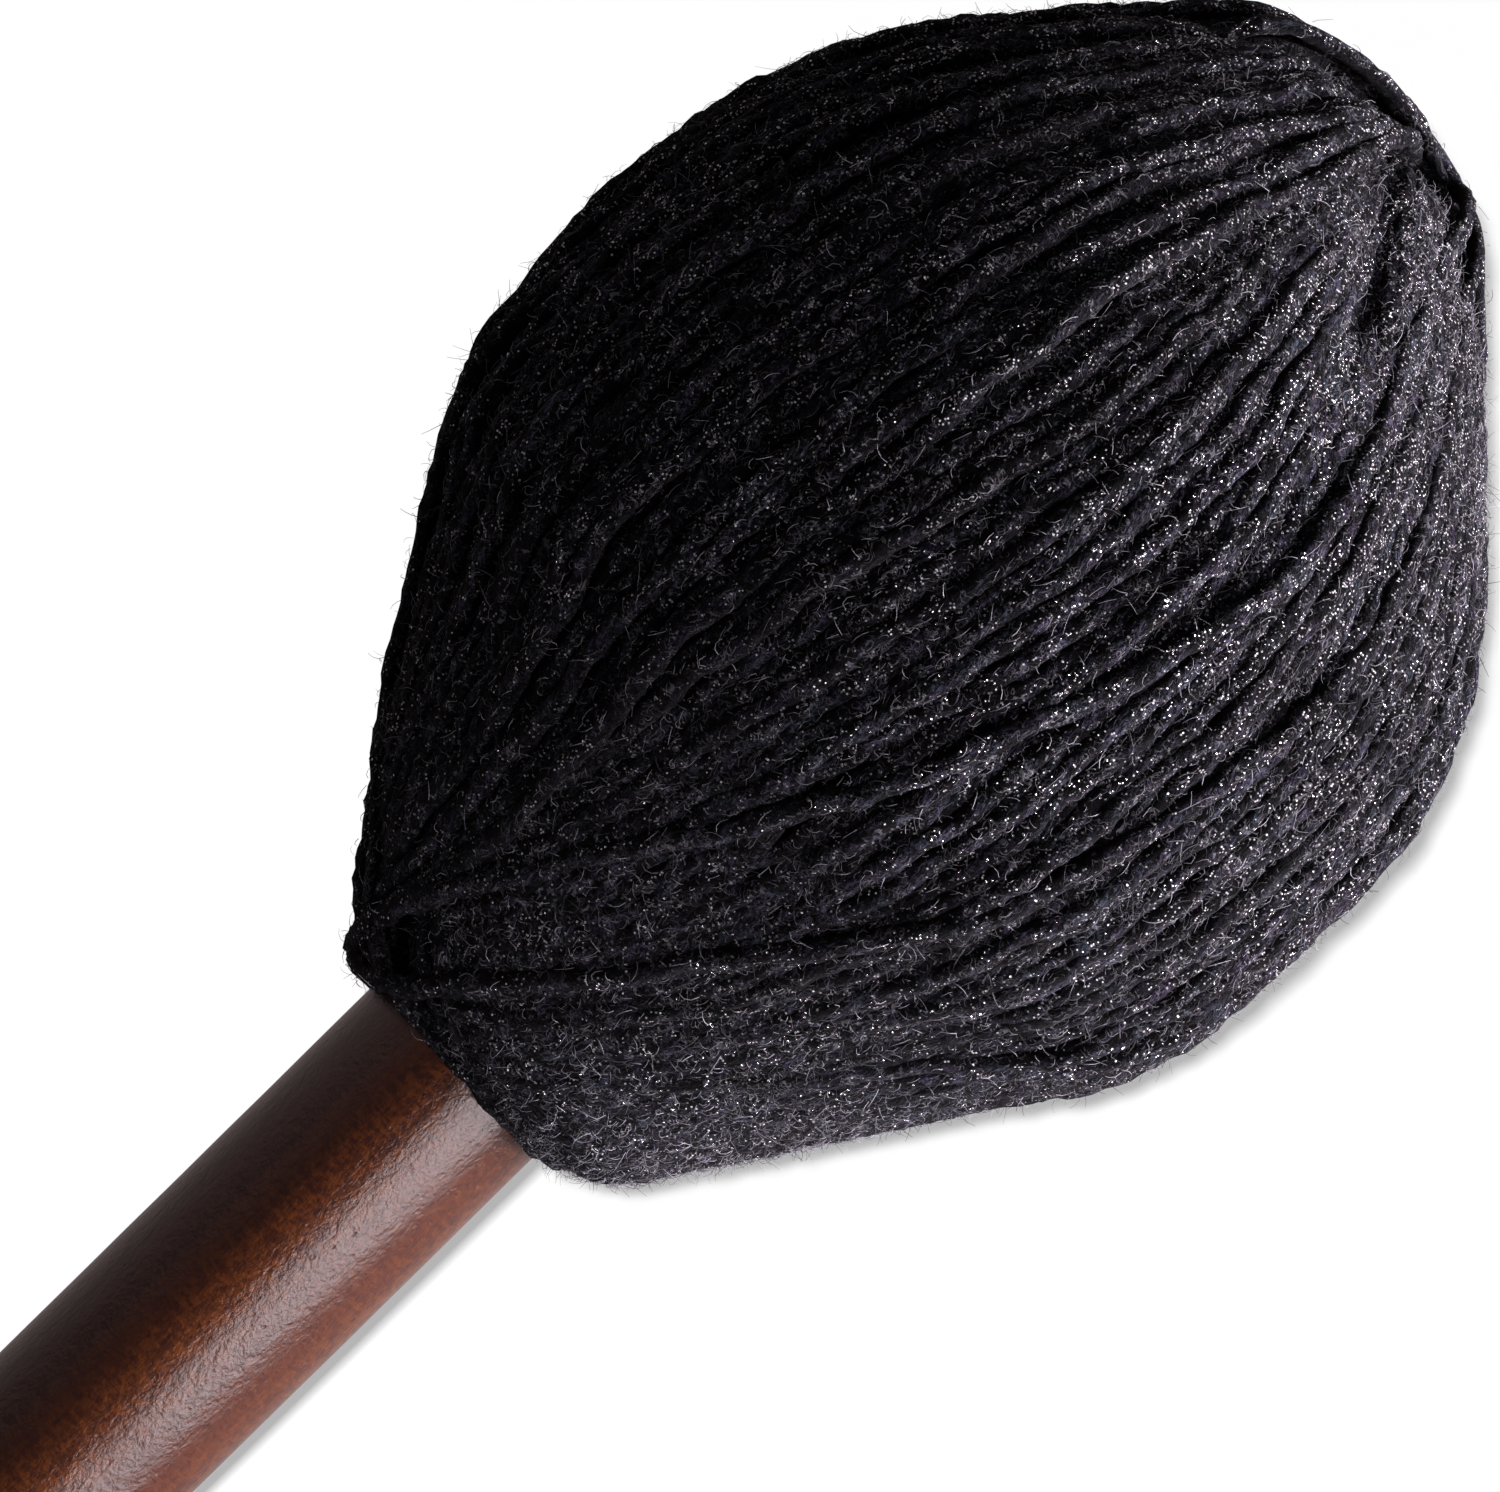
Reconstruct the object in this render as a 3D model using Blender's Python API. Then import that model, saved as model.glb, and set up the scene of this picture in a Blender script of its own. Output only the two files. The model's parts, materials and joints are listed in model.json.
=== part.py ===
"""Gong mallet: a stained hardwood handle, a weighted core, felt and fleece padding, and a wound yarn head.

The mallet is modelled upright on its own axis, with height 0 at the butt of the handle, and then laid down
the way it rests on a table: on the widest part of the head and on the rim of the butt. The origin is on the
surface that it rests on, under the middle of the mallet. +X points from the butt to the head.
"""

import math

import bmesh
import bpy
import numpy as np
from mathutils import Matrix, Vector

MM = 0.001

# Overall sizes
OVERALL_LENGTH = 394 * MM
HANDLE_DIAMETER = 25.4 * MM
HEAD_LENGTH = 146.5 * MM
HEAD_DIAMETER = 111.5 * MM

# Outline of the head: a flat base, a cone, a belly, a shoulder and a flat crown.
# Each angle is between that wall and the axis. A rounding is what it takes off the walls before and
# after it, and at most a share of each of them.
BASE_DIAMETER = 35 * MM
CONE_ANGLE = math.radians(34.3)
CROWN_DIAMETER = 28.6 * MM
SHOULDER_ANGLE = math.radians(44.1)
BASE_ROUNDING = (3.5 * MM, 3.5 * MM)
LOW_BELLY_ROUNDING = (11 * MM, 19 * MM)
HIGH_BELLY_ROUNDING = (22 * MM, 18 * MM)
CROWN_ROUNDING = (5 * MM, 5 * MM)
LEAST_ROUNDING = 0.5 * MM
ROUNDING_SHARE = 0.45

# Outer yarn: two bands of strands, square to each other, that run over the crown and past the handle
YARN_DIAMETER = 3 * MM
STRAND_GAP = 0.55 * MM
LAYER_GAP = 1.6 * MM
BAND_STRANDS = 12
BANDS = 2
YARN_SAG = 1.5 * MM
END_RUN = 0.8
SIDE_POINTS = 3
POLE_POINTS = 5

# Padding, as depths below the outside of the head
FLEECE_DEPTH = 13 * MM
FLEECE_THICKNESS = 4 * MM
PAD_EDGE = 1.5 * MM

# Handle
BUTT_ROUNDING = 6 * MM
CORE_HEIGHT = 40 * MM
TENON_DIAMETER = 16 * MM
TENON_SHORT = 1 * MM
TIE_HEIGHT = 14 * MM

# Core, stacked on the shoulder of the handle
CORE_DIAMETER = 42 * MM
DISC_DIAMETER = 38 * MM
DISC_THICKNESS = 5 * MM
CUSHION_THICKNESS = 3 * MM
WEIGHT_LENGTH = 30 * MM
BLOCK_LENGTH = 20 * MM
CORE_BEVEL = 1.5 * MM
STUD_DIAMETER = 8 * MM
STUD_DEPTH = 40 * MM
STUD_STANDOUT = 3 * MM
WASHER_DIAMETER = 30 * MM
WASHER_THICKNESS = 2 * MM
LOCK_DIAMETER = 14.8 * MM
LOCK_THICKNESS = 2 * MM
LOCK_SPLIT = 1.2 * MM
NUT_WIDTH = 13 * MM
NUT_HEIGHT = 6.5 * MM
NUT_ROOM = 2 * MM
STUD_CHAMFER = 1 * MM

# Threads
THREAD_DIAMETER = 1.4 * MM
STITCH_DIAMETER = 9 * MM

# Room between neighbouring pieces
SEAT = 0.3 * MM

# Fineness of the faceted shapes
TURN_STEPS = 32
THREAD_SIDES = 6
NUT_STEPS = 4
BUTT_STEPS = 5
ROUNDING_STEPS = 3
ROUTE_STEPS = 24
GAP_SAMPLES = 9
TILT_STEPS = 50
SMOOTH_ANGLE = math.radians(35)
MERGE = 0.001 * MM

HANDLE_RADIUS = HANDLE_DIAMETER / 2
HEAD_RADIUS = HEAD_DIAMETER / 2
CORE_RADIUS = CORE_DIAMETER / 2
YARN_RADIUS = YARN_DIAMETER / 2
THREAD_RADIUS = THREAD_DIAMETER / 2
HEAD_BASE = OVERALL_LENGTH - HEAD_LENGTH
THROAT_RADIUS = HANDLE_RADIUS + SEAT
STRAND_PITCH = YARN_DIAMETER + STRAND_GAP
LAYER_STEP = YARN_DIAMETER + LAYER_GAP

# Heights in the core, each piece seated on the one below it
SHOULDER_TOP = HEAD_BASE + CORE_HEIGHT
DISC_BASE = SHOULDER_TOP + SEAT
CUSHION_BASE = DISC_BASE + DISC_THICKNESS + SEAT
WEIGHT_BASE = CUSHION_BASE + CUSHION_THICKNESS + SEAT
BLOCK_BASE = WEIGHT_BASE + WEIGHT_LENGTH + SEAT
BLOCK_TOP = BLOCK_BASE + BLOCK_LENGTH
WASHER_BASE = BLOCK_TOP + SEAT
LOCK_BASE = WASHER_BASE + WASHER_THICKNESS + SEAT
NUT_BASE = LOCK_BASE + LOCK_THICKNESS + SEAT
TENON_TOP = BLOCK_TOP - TENON_SHORT
STUD_BASE = TENON_TOP - STUD_DEPTH
STUD_TOP = NUT_BASE + NUT_HEIGHT + STUD_STANDOUT

# The tie round the handle and the stitch in the crown each lie in a groove
TIE_CENTRE = HEAD_BASE + TIE_HEIGHT
GROOVE_DEPTH = THREAD_DIAMETER + SEAT


# Outline of the head


def corner_between(first, second, depth):
    """Where two walls meet, once both are moved in by depth."""
    normals = np.array([[math.cos(lean), math.sin(lean)] for lean, _ in (first, second)])
    reaches = [normal @ np.array(point) - depth for normal, (_, point) in zip(normals, (first, second))]
    return Vector(np.linalg.solve(normals, reaches))


def bend(start, corner, end, steps):
    """Points of a smooth curve from start to end that rounds the corner."""
    shares = [step / steps for step in range(steps + 1)]
    return [start * (1 - t) ** 2 + corner * 2 * t * (1 - t) + end * t * t for t in shares]


def head_level(depth, wall_steps=1, rounding_steps=ROUNDING_STEPS):
    """Side outline of the head as (radius, height) points from the middle of the base to that of the crown.

    The outline is moved in by depth, and its points keep their order, so that equal indices lie one
    below the other.
    """
    walls = (
        (-math.pi / 2, (0, 0)),
        (-CONE_ANGLE, (BASE_DIAMETER / 2, 0)),
        (0, (HEAD_RADIUS, 0)),
        (SHOULDER_ANGLE, (CROWN_DIAMETER / 2, HEAD_LENGTH)),
        (math.pi / 2, (0, HEAD_LENGTH)),
    )
    roundings = (BASE_ROUNDING, LOW_BELLY_ROUNDING, HIGH_BELLY_ROUNDING, CROWN_ROUNDING)
    corners = [Vector((0, depth))]
    corners += [corner_between(walls[i], walls[i + 1], depth) for i in range(len(roundings))]
    corners += [Vector((0, HEAD_LENGTH - depth))]
    points = [corners[0]]
    for i, rounding in enumerate(roundings):
        turn = walls[i + 1][0] - walls[i][0]
        corner = corners[i + 1]
        ends = []
        for neighbour, length in ((corners[i], rounding[0]), (corners[i + 2], rounding[1])):
            wall = neighbour - corner
            wanted = max(length - depth * math.tan(turn / 2), LEAST_ROUNDING)
            ends.append(corner + wall.normalized() * min(wanted, wall.length * ROUNDING_SHARE))
        wall_start = points[-1]
        points += [wall_start.lerp(ends[0], step / wall_steps) for step in range(1, wall_steps)]
        points += bend(ends[0], corner, ends[1], rounding_steps)
    wall_start = points[-1]
    points += [wall_start.lerp(corners[-1], step / wall_steps) for step in range(1, wall_steps + 1)]
    return np.array([(point.x, point.y + HEAD_BASE) for point in points])


def smooth_step(value, low, high):
    """0 at low, 1 at high, and smooth between them."""
    share = min(max((value - low) / (high - low), 0), 1)
    return share * share * (3 - 2 * share)


# Route of the outer yarn.
# A pass runs from the belly over a pole, the crown or the base, to the belly on the other side. On the
# belly the strands fan out evenly. Over a pole they lie side by side, clear of the handle at the base, and
# the first band dips one layer down, so that the second crosses above it.

FAN_STEP = math.pi / (BANDS * BAND_STRANDS)
CROWN_REACH = (BAND_STRANDS - 1) / 2 * STRAND_PITCH
THROAT_PASS = THROAT_RADIUS + YARN_RADIUS
THROAT_REACH = THROAT_PASS + (BAND_STRANDS / 2 - 1) * STRAND_PITCH


def fine_half(depth, at_crown):
    """The fine outline from the middle of the belly to one pole."""
    level = head_level(depth, ROUTE_STEPS, ROUTE_STEPS)
    belly = len(level) // 2
    return level[belly:] if at_crown else level[belly::-1]


def run_lengths(points):
    """Distance along the outline to each of its points."""
    return np.concatenate([[0], np.cumsum(np.linalg.norm(np.diff(points, axis=0), axis=1))])


class Pole:
    """One end of the head, with the way that strands run over it."""

    def __init__(self, at_crown):
        self.at_crown = at_crown
        self.flat = (CROWN_DIAMETER if at_crown else BASE_DIAMETER) / 2
        outside = fine_half(0, at_crown)
        self.runs = run_lengths(outside)
        reach = CROWN_REACH if at_crown else THROAT_REACH
        corner = min((reach + YARN_DIAMETER) * math.sqrt(2), HEAD_RADIUS - YARN_DIAMETER)
        self.crossing_run = self.run_at(corner, outside)

    def run_at(self, radius, level):
        """Distance from the belly to where a level has this radius."""
        return np.interp(radius, level[::-1, 0], self.runs[::-1])

    def crossing_share(self, run):
        """0 on the belly, where the bands lie side by side, and 1 where they cross."""
        return smooth_step(run, 0, self.crossing_run)

    def depth(self, band, run):
        """Depth of the middle of a strand below the outside."""
        layers_down = BANDS - 1 - band
        return YARN_RADIUS + LAYER_STEP * layers_down * self.crossing_share(run)

    def offset(self, strand):
        """How far beside the axis a strand passes."""
        place = strand - (BAND_STRANDS - 1) / 2
        if self.at_crown:
            return place * STRAND_PITCH
        return math.copysign(THROAT_PASS + (abs(place) - 0.5) * STRAND_PITCH, place)

    def side_point(self, run, band, fan_place, passing):
        """A point of a strand beside the pole, this far from the belly.

        The strand leads from its place in the fan on the belly to where the strand numbered passing
        goes over the pole.
        """
        level = fine_half(self.depth(band, run), self.at_crown)
        radius = np.interp(run, self.runs, level[:, 0])
        height = np.interp(run, self.runs, level[:, 1])
        fanned = radius * math.sin((fan_place - (BAND_STRANDS - 1) / 2) * FAN_STEP)
        beside = fanned + (self.offset(passing) - fanned) * self.crossing_share(run)
        return Vector((math.sqrt(radius**2 - beside**2), beside, height))

    def strand_pass(self, band, strand, next_strand):
        """A strand's points from belly to belly. The pass ends where the next strand starts."""
        level = fine_half(self.depth(band, self.crossing_run), self.at_crown)
        beside = self.offset(strand)
        straight_run = self.run_at(math.hypot(self.flat, beside), level)
        runs = [straight_run * step / (SIDE_POINTS + 1) for step in range(SIDE_POINTS + 1)]
        points = [self.side_point(run, band, strand, strand) for run in runs]
        for along in np.linspace(self.flat, -self.flat, POLE_POINTS):
            height = np.interp(math.hypot(along, beside), level[::-1, 0], level[::-1, 1])
            points.append(Vector((along, beside, height)))
        ending = [self.side_point(run, band, next_strand, strand) for run in runs[:0:-1]]
        points += [Vector((-point.x, point.y, point.z)) for point in ending]
        start_side = 1 if self.at_crown else -1
        return [Vector((start_side * point.x, point.y, point.z)) for point in points]


CROWN = Pole(True)
BASE = Pole(False)


def body_level():
    """Outside of the yarn body, which carries the strands: one layer deeper where the bands cross."""
    outside = head_level(0, 2, ROUNDING_STEPS)
    belly = len(outside) // 2
    runs = run_lengths(outside)
    points = []
    for index, run in enumerate(runs):
        pole = CROWN if index > belly else BASE
        share = pole.crossing_share(abs(run - runs[belly]))
        depth = YARN_DIAMETER + YARN_SAG + SEAT + LAYER_STEP * (BANDS - 1) * share
        points.append(head_level(depth, 2, ROUNDING_STEPS)[index])
    return np.array(points)


def loose_end(band, fan_place, passing):
    """The yarn's end: from a place on the belly towards the base, then squarely into the yarn body."""
    runs = (BASE.crossing_run * END_RUN / 2, BASE.crossing_run * END_RUN)
    points = [BASE.side_point(run, band, fan_place, passing) for run in runs]
    last = points[-1]
    around = math.atan2(last.y, last.x)
    here = np.array([math.hypot(last.x, last.y), last.z])
    surface = body_level()
    lines = np.diff(surface, axis=0)
    shares = np.clip(np.sum((here - surface[:-1]) * lines, axis=1) / np.sum(lines**2, axis=1), 0, 1)
    feet = surface[:-1] + lines * shares[:, None]
    inward = min((foot - here for foot in feet), key=np.linalg.norm)
    radius, height = here + inward * (1 - SEAT / np.linalg.norm(inward))
    return points + [Vector((radius * math.cos(around), radius * math.sin(around), height))]


def winding_route():
    """The whole run of the outer yarn: from its first end, band after band, to its last end."""
    route = loose_end(0, 0, -1)[::-1]
    for band in range(BANDS):
        turn = Matrix.Rotation(band * math.pi / BANDS, 3, "Z")
        for strand in range(BAND_STRANDS):
            stretch = CROWN.strand_pass(band, strand, strand)
            if band == BANDS - 1 and strand == BAND_STRANDS - 1:
                end = [BASE.side_point(0, band, strand, strand)] + loose_end(band, strand, strand)
                stretch += [Vector((-point.x, point.y, point.z)) for point in end]
            else:
                stretch += BASE.strand_pass(band, strand, strand + 1)
            route += [turn @ point for point in stretch]
    return route


def least_gap(route):
    """Smallest clear distance of the yarn to itself, measured from points along every stretch of it."""
    points = np.array([tuple(point) for point in route])
    starts, spans = points[:-1], np.diff(points, axis=0)
    least = math.inf
    for index in range(len(starts) - 2):
        others, lines = starts[index + 2 :], spans[index + 2 :]
        for share in np.linspace(0, 1, GAP_SAMPLES):
            offsets = starts[index] + spans[index] * share - others
            along = np.clip(np.sum(offsets * lines, axis=1) / np.sum(lines**2, axis=1), 0, 1)
            distances = np.linalg.norm(offsets - lines * along[:, None], axis=1)
            least = min(least, distances.min() - YARN_DIAMETER)
    return least


# Building the solids


def finish(name, red, green, blue, roughness, metallic=0.0):
    """A plain surface. The colour is given as it shows on a screen, from 0 to 255."""
    linear = [((part / 255 + 0.055) / 1.055) ** 2.4 for part in (red, green, blue)]
    surface = bpy.data.materials.new(name)
    surface.use_nodes = True
    shader = surface.node_tree.nodes["Principled BSDF"]
    shader.inputs["Base Color"].default_value = (*linear, 1)
    shader.inputs["Roughness"].default_value = roughness
    shader.inputs["Metallic"].default_value = metallic
    surface.diffuse_color = (*linear, 1)
    return surface


def add_piece(name, data, surface, mallet):
    """An object of the mallet, placed on its axis."""
    data.materials.append(surface)
    piece = bpy.data.objects.new(name, data)
    bpy.context.collection.objects.link(piece)
    piece.parent = mallet
    return piece


def turned(name, outline, surface, mallet, sweep=2 * math.pi):
    """A solid of revolution. The outline is a loop of (radius, height) points, and may touch the axis."""
    mesh = bpy.data.meshes.new(name)
    shape = bmesh.new()
    half_step = Matrix.Rotation(sweep / TURN_STEPS / 2, 3, "Z")
    verts = [shape.verts.new(half_step @ Vector((radius, 0, height))) for radius, height in outline]
    edges = []
    for first, second in zip(verts, verts[1:] + verts[:1]):
        on_axis = max(first.co.xy.length, second.co.xy.length) < MERGE
        if not on_axis:
            edges.append(shape.edges.new((first, second)))
    whole = sweep == 2 * math.pi
    bmesh.ops.spin(
        shape,
        geom=verts + edges,
        axis=(0, 0, 1),
        angle=sweep,
        steps=TURN_STEPS,
        use_merge=whole,
    )
    bmesh.ops.remove_doubles(shape, verts=shape.verts, dist=MERGE)
    if not whole:
        ends = [edge for edge in shape.edges if edge.is_boundary]
        bmesh.ops.holes_fill(shape, edges=ends, sides=len(outline))
    bmesh.ops.recalc_face_normals(shape, faces=shape.faces)
    shape.to_mesh(mesh)
    shape.free()
    mesh.shade_smooth()
    mesh.set_sharp_from_angle(angle=SMOOTH_ANGLE)
    return add_piece(name, mesh, surface, mallet)


def ring_outline(inner, outer, low, high, bevel=0.0):
    """Section of a ring, with its two outer edges bevelled."""
    if not bevel:
        return [(inner, low), (outer, low), (outer, high), (inner, high)]
    rim = [(outer - bevel, low), (outer, low + bevel), (outer, high - bevel), (outer - bevel, high)]
    return [(inner, low)] + rim + [(inner, high)]


def thread_ring(name, radius, height, surface, mallet):
    """A closed ring of thread round the axis."""
    turns = [2 * math.pi * side / THREAD_SIDES for side in range(THREAD_SIDES)]
    section = [(radius + THREAD_RADIUS * math.cos(t), height + THREAD_RADIUS * math.sin(t)) for t in turns]
    return turned(name, section, surface, mallet)


def height_where(level, radius):
    """Height on the lower half of a level where it first reaches this radius."""
    rising = level[: int(level[:, 0].argmax()) + 1]
    return float(np.interp(radius, rising[:, 0], rising[:, 1]))


def stretch_between(level, low, high):
    """Points of a level from one height up to another, with new points at both ends."""
    inside = [tuple(point) for point in level if low + MERGE < point[1] < high - MERGE]
    ends = [(float(np.interp(height, level[:, 1], level[:, 0])), height) for height in (low, high)]
    return [ends[0]] + inside + [ends[1]]


def upward_from(level, low):
    """Points of a level from a height up to the axis, with a new first point."""
    start = (float(np.interp(low, level[:, 1], level[:, 0])), low)
    return [start] + [tuple(point) for point in level if point[1] > low + MERGE]


def above_throat(level):
    """Points of a level from the wall of the handle's bore up to the axis."""
    return upward_from(level, height_where(level, THROAT_RADIUS))


# The pieces


def make_handle(wood, mallet):
    """Turned shaft with a rounded butt, a groove for the yarn's tie, and a tenon that carries the core."""
    radius = HANDLE_RADIUS
    corner = Vector((radius, 0))
    butt = bend(Vector((radius - BUTT_ROUNDING, 0)), corner, Vector((radius, BUTT_ROUNDING)), BUTT_STEPS)
    outline = [(0, 0)] + [tuple(point) for point in butt]
    half_groove = THREAD_RADIUS + SEAT
    outline += [(radius, TIE_CENTRE - half_groove), (radius - GROOVE_DEPTH, TIE_CENTRE - half_groove)]
    outline += [(radius - GROOVE_DEPTH, TIE_CENTRE + half_groove), (radius, TIE_CENTRE + half_groove)]
    outline += [(radius, SHOULDER_TOP), (TENON_DIAMETER / 2, SHOULDER_TOP), (TENON_DIAMETER / 2, TENON_TOP)]
    bore = STUD_DIAMETER / 2 + SEAT
    outline += [(bore, TENON_TOP), (bore, STUD_BASE - SEAT), (0, STUD_BASE - SEAT)]
    turned("handle", outline, wood, mallet)


def make_stud(steel, mallet):
    """Stud with chamfered ends, set in the tenon."""
    radius = STUD_DIAMETER / 2
    narrow = radius - STUD_CHAMFER
    outline = [(0, STUD_BASE), (narrow, STUD_BASE), (radius, STUD_BASE + STUD_CHAMFER)]
    outline += [(radius, STUD_TOP - STUD_CHAMFER), (narrow, STUD_TOP), (0, STUD_TOP)]
    turned("handle_stud", outline, steel, mallet)


def make_core(plywood, rubber, steel, maple, mallet):
    """The pieces that the tenon carries, from the shoulder up."""
    bore = TENON_DIAMETER / 2 + SEAT
    disc = DISC_DIAMETER / 2
    turned("base_disc", ring_outline(bore, disc, DISC_BASE, DISC_BASE + DISC_THICKNESS), plywood, mallet)
    cushion = ring_outline(bore, disc, CUSHION_BASE, CUSHION_BASE + CUSHION_THICKNESS)
    turned("base_cushion", cushion, rubber, mallet)
    weight = ring_outline(bore, CORE_RADIUS, WEIGHT_BASE, WEIGHT_BASE + WEIGHT_LENGTH, CORE_BEVEL)
    turned("steel_weight", weight, steel, mallet)
    block = ring_outline(bore, CORE_RADIUS, BLOCK_BASE, BLOCK_TOP, CORE_BEVEL)
    turned("core_block", block, maple, mallet)


def make_fasteners(steel, zinc, mallet):
    """Washer, split lock washer and nut, stacked on the core block round the stud."""
    bore = STUD_DIAMETER / 2 + SEAT
    washer = ring_outline(bore, WASHER_DIAMETER / 2, WASHER_BASE, WASHER_BASE + WASHER_THICKNESS)
    turned("clamp_washer", washer, zinc, mallet)
    lock = ring_outline(bore, LOCK_DIAMETER / 2, LOCK_BASE, LOCK_BASE + LOCK_THICKNESS)
    split = LOCK_SPLIT / (LOCK_DIAMETER / 2)
    turned("lock_washer", lock, steel, mallet, sweep=2 * math.pi - split)
    nut = hexagon_nut(bore)
    add_piece("hex_nut", nut, zinc, mallet)


def hexagon_nut(bore):
    """A six-sided nut with a round bore, as one ring of faces whose outer corners follow the hexagon."""
    mesh = bpy.data.meshes.new("hex_nut")
    shape = bmesh.new()
    steps = 6 * NUT_STEPS
    rings = []
    for outer, height in ((True, 0), (True, NUT_HEIGHT), (False, NUT_HEIGHT), (False, 0)):
        ring = []
        for step in range(steps):
            angle = 2 * math.pi * step / steps
            from_flat = (angle + math.pi / 6) % (math.pi / 3) - math.pi / 6
            radius = NUT_WIDTH / 2 / math.cos(from_flat) if outer else bore
            spot = (radius * math.cos(angle), radius * math.sin(angle), NUT_BASE + height)
            ring.append(shape.verts.new(spot))
        rings.append(ring)
    for lower, upper in zip(rings, rings[1:] + rings[:1]):
        for step in range(steps):
            following = (step + 1) % steps
            shape.faces.new((lower[step], lower[following], upper[following], upper[step]))
    bmesh.ops.recalc_face_normals(shape, faces=shape.faces)
    shape.to_mesh(mesh)
    shape.free()
    return mesh


def make_padding(felt, fleece, mallet):
    """Felt that fills the head round the core, under a fleece cover."""
    level = head_level(FLEECE_DEPTH + FLEECE_THICKNESS + SEAT)
    low = height_where(level, THROAT_RADIUS + PAD_EDGE)
    outline = [(THROAT_RADIUS, low)] + stretch_between(level, low, SHOULDER_TOP)
    turned("base_pad", outline + [(THROAT_RADIUS, SHOULDER_TOP)], felt, mallet)

    inner = max(CORE_RADIUS, DISC_DIAMETER / 2) + SEAT
    low = max(DISC_BASE, height_where(level, inner + PAD_EDGE))
    outline = [(inner, low)] + stretch_between(level, low, BLOCK_TOP)
    turned("core_wrap", outline + [(inner, BLOCK_TOP)], felt, mallet)

    pocket = WASHER_DIAMETER / 2 + SEAT
    ceiling = STUD_TOP + NUT_ROOM
    outline = [(0, ceiling), (pocket, ceiling), (pocket, WASHER_BASE)]
    turned("crown_pad", outline + upward_from(level, WASHER_BASE), felt, mallet)

    outside = above_throat(head_level(FLEECE_DEPTH))
    inside = above_throat(head_level(FLEECE_DEPTH + FLEECE_THICKNESS))
    turned("fleece_cover", outside + inside[::-1], fleece, mallet)


def make_yarn(yarn, mallet):
    """The wound yarn: a plain body of inner turns, and the outer turns that show."""
    outside = above_throat(body_level())
    crown = outside[-1][1]
    half_groove = THREAD_RADIUS + SEAT
    stitch = STITCH_DIAMETER / 2
    outside = [point for point in outside if point[0] > stitch + half_groove]
    outside += [(stitch + half_groove, crown), (stitch + half_groove, crown - GROOVE_DEPTH)]
    outside += [(stitch - half_groove, crown - GROOVE_DEPTH), (stitch - half_groove, crown), (0, crown)]
    inside = above_throat(head_level(FLEECE_DEPTH - SEAT))
    turned("yarn_body", outside + inside[::-1], yarn, mallet)
    thread_ring("crown_stitch", stitch, crown - THREAD_RADIUS, yarn, mallet)
    thread_ring("anchor_tie", HANDLE_RADIUS - THREAD_RADIUS, TIE_CENTRE, yarn, mallet)

    route = winding_route()
    gap = least_gap(route) / MM
    print(f"The outer yarn has {BANDS * BAND_STRANDS} loops. Its least gap to itself is {gap:.2f} mm")
    curve = bpy.data.curves.new("yarn_winding", "CURVE")
    curve.dimensions = "3D"
    curve.bevel_depth = YARN_RADIUS
    curve.bevel_resolution = 1
    curve.use_fill_caps = True
    spline = curve.splines.new("POLY")
    spline.points.add(len(route) - 1)
    for spot, point in zip(spline.points, route):
        spot.co = (*point, 1)
    add_piece("yarn_winding", curve, yarn, mallet)


def lay_down(mallet):
    """Tilts the mallet until head and butt touch the same level, and puts the origin under its middle."""
    depsgraph = bpy.context.evaluated_depsgraph_get()
    points = []
    for piece in mallet.children:
        mesh = piece.evaluated_get(depsgraph).to_mesh()
        points += [tuple(vertex.co) for vertex in mesh.vertices]
        piece.evaluated_get(depsgraph).to_mesh_clear()
    points = np.array(points)
    in_head = points[:, 2] > HEAD_BASE
    low, high = 0, math.pi / 4
    for _ in range(TILT_STEPS):
        tilt = (low + high) / 2
        turn = Matrix.Rotation(math.pi / 2 - tilt, 3, "Y")
        placed = points @ np.array(turn).T
        if placed[in_head, 2].min() < placed[~in_head, 2].min():
            low = tilt
        else:
            high = tilt
    corners = np.array([placed.min(axis=0), placed.max(axis=0)])
    middle = corners.mean(axis=0)
    mallet.rotation_euler = (0, math.pi / 2 - tilt, 0)
    mallet.location = (-middle[0], -middle[1], -corners[0, 2])


def main():
    for thing in list(bpy.data.objects):
        bpy.data.objects.remove(thing)
    mallet = bpy.data.objects.new("mallet", None)
    bpy.context.collection.objects.link(mallet)

    wood = finish("stained_hardwood", 66, 40, 32, 0.35)
    maple = finish("plain_maple", 205, 170, 125, 0.6)
    plywood = finish("birch_plywood", 194, 158, 116, 0.65)
    steel = finish("dark_steel", 120, 122, 126, 0.4, 1.0)
    zinc = finish("zinc_plated_steel", 190, 192, 196, 0.3, 1.0)
    rubber = finish("black_rubber", 36, 36, 37, 0.75)
    felt = finish("grey_felt", 132, 130, 126, 0.95)
    fleece = finish("cream_fleece", 214, 206, 190, 0.95)
    yarn = finish("charcoal_yarn", 40, 38, 43, 0.9)

    make_handle(wood, mallet)
    make_stud(steel, mallet)
    make_core(plywood, rubber, steel, maple, mallet)
    make_fasteners(steel, zinc, mallet)
    make_padding(felt, fleece, mallet)
    make_yarn(yarn, mallet)
    bpy.context.view_layer.update()
    lay_down(mallet)
    bpy.context.view_layer.update()


main()
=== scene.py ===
"""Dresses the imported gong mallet: its stained handle, its felt and fleece padding, and the thick charcoal
yarn that is wound over the head, with a small studio to show it in."""

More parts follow.
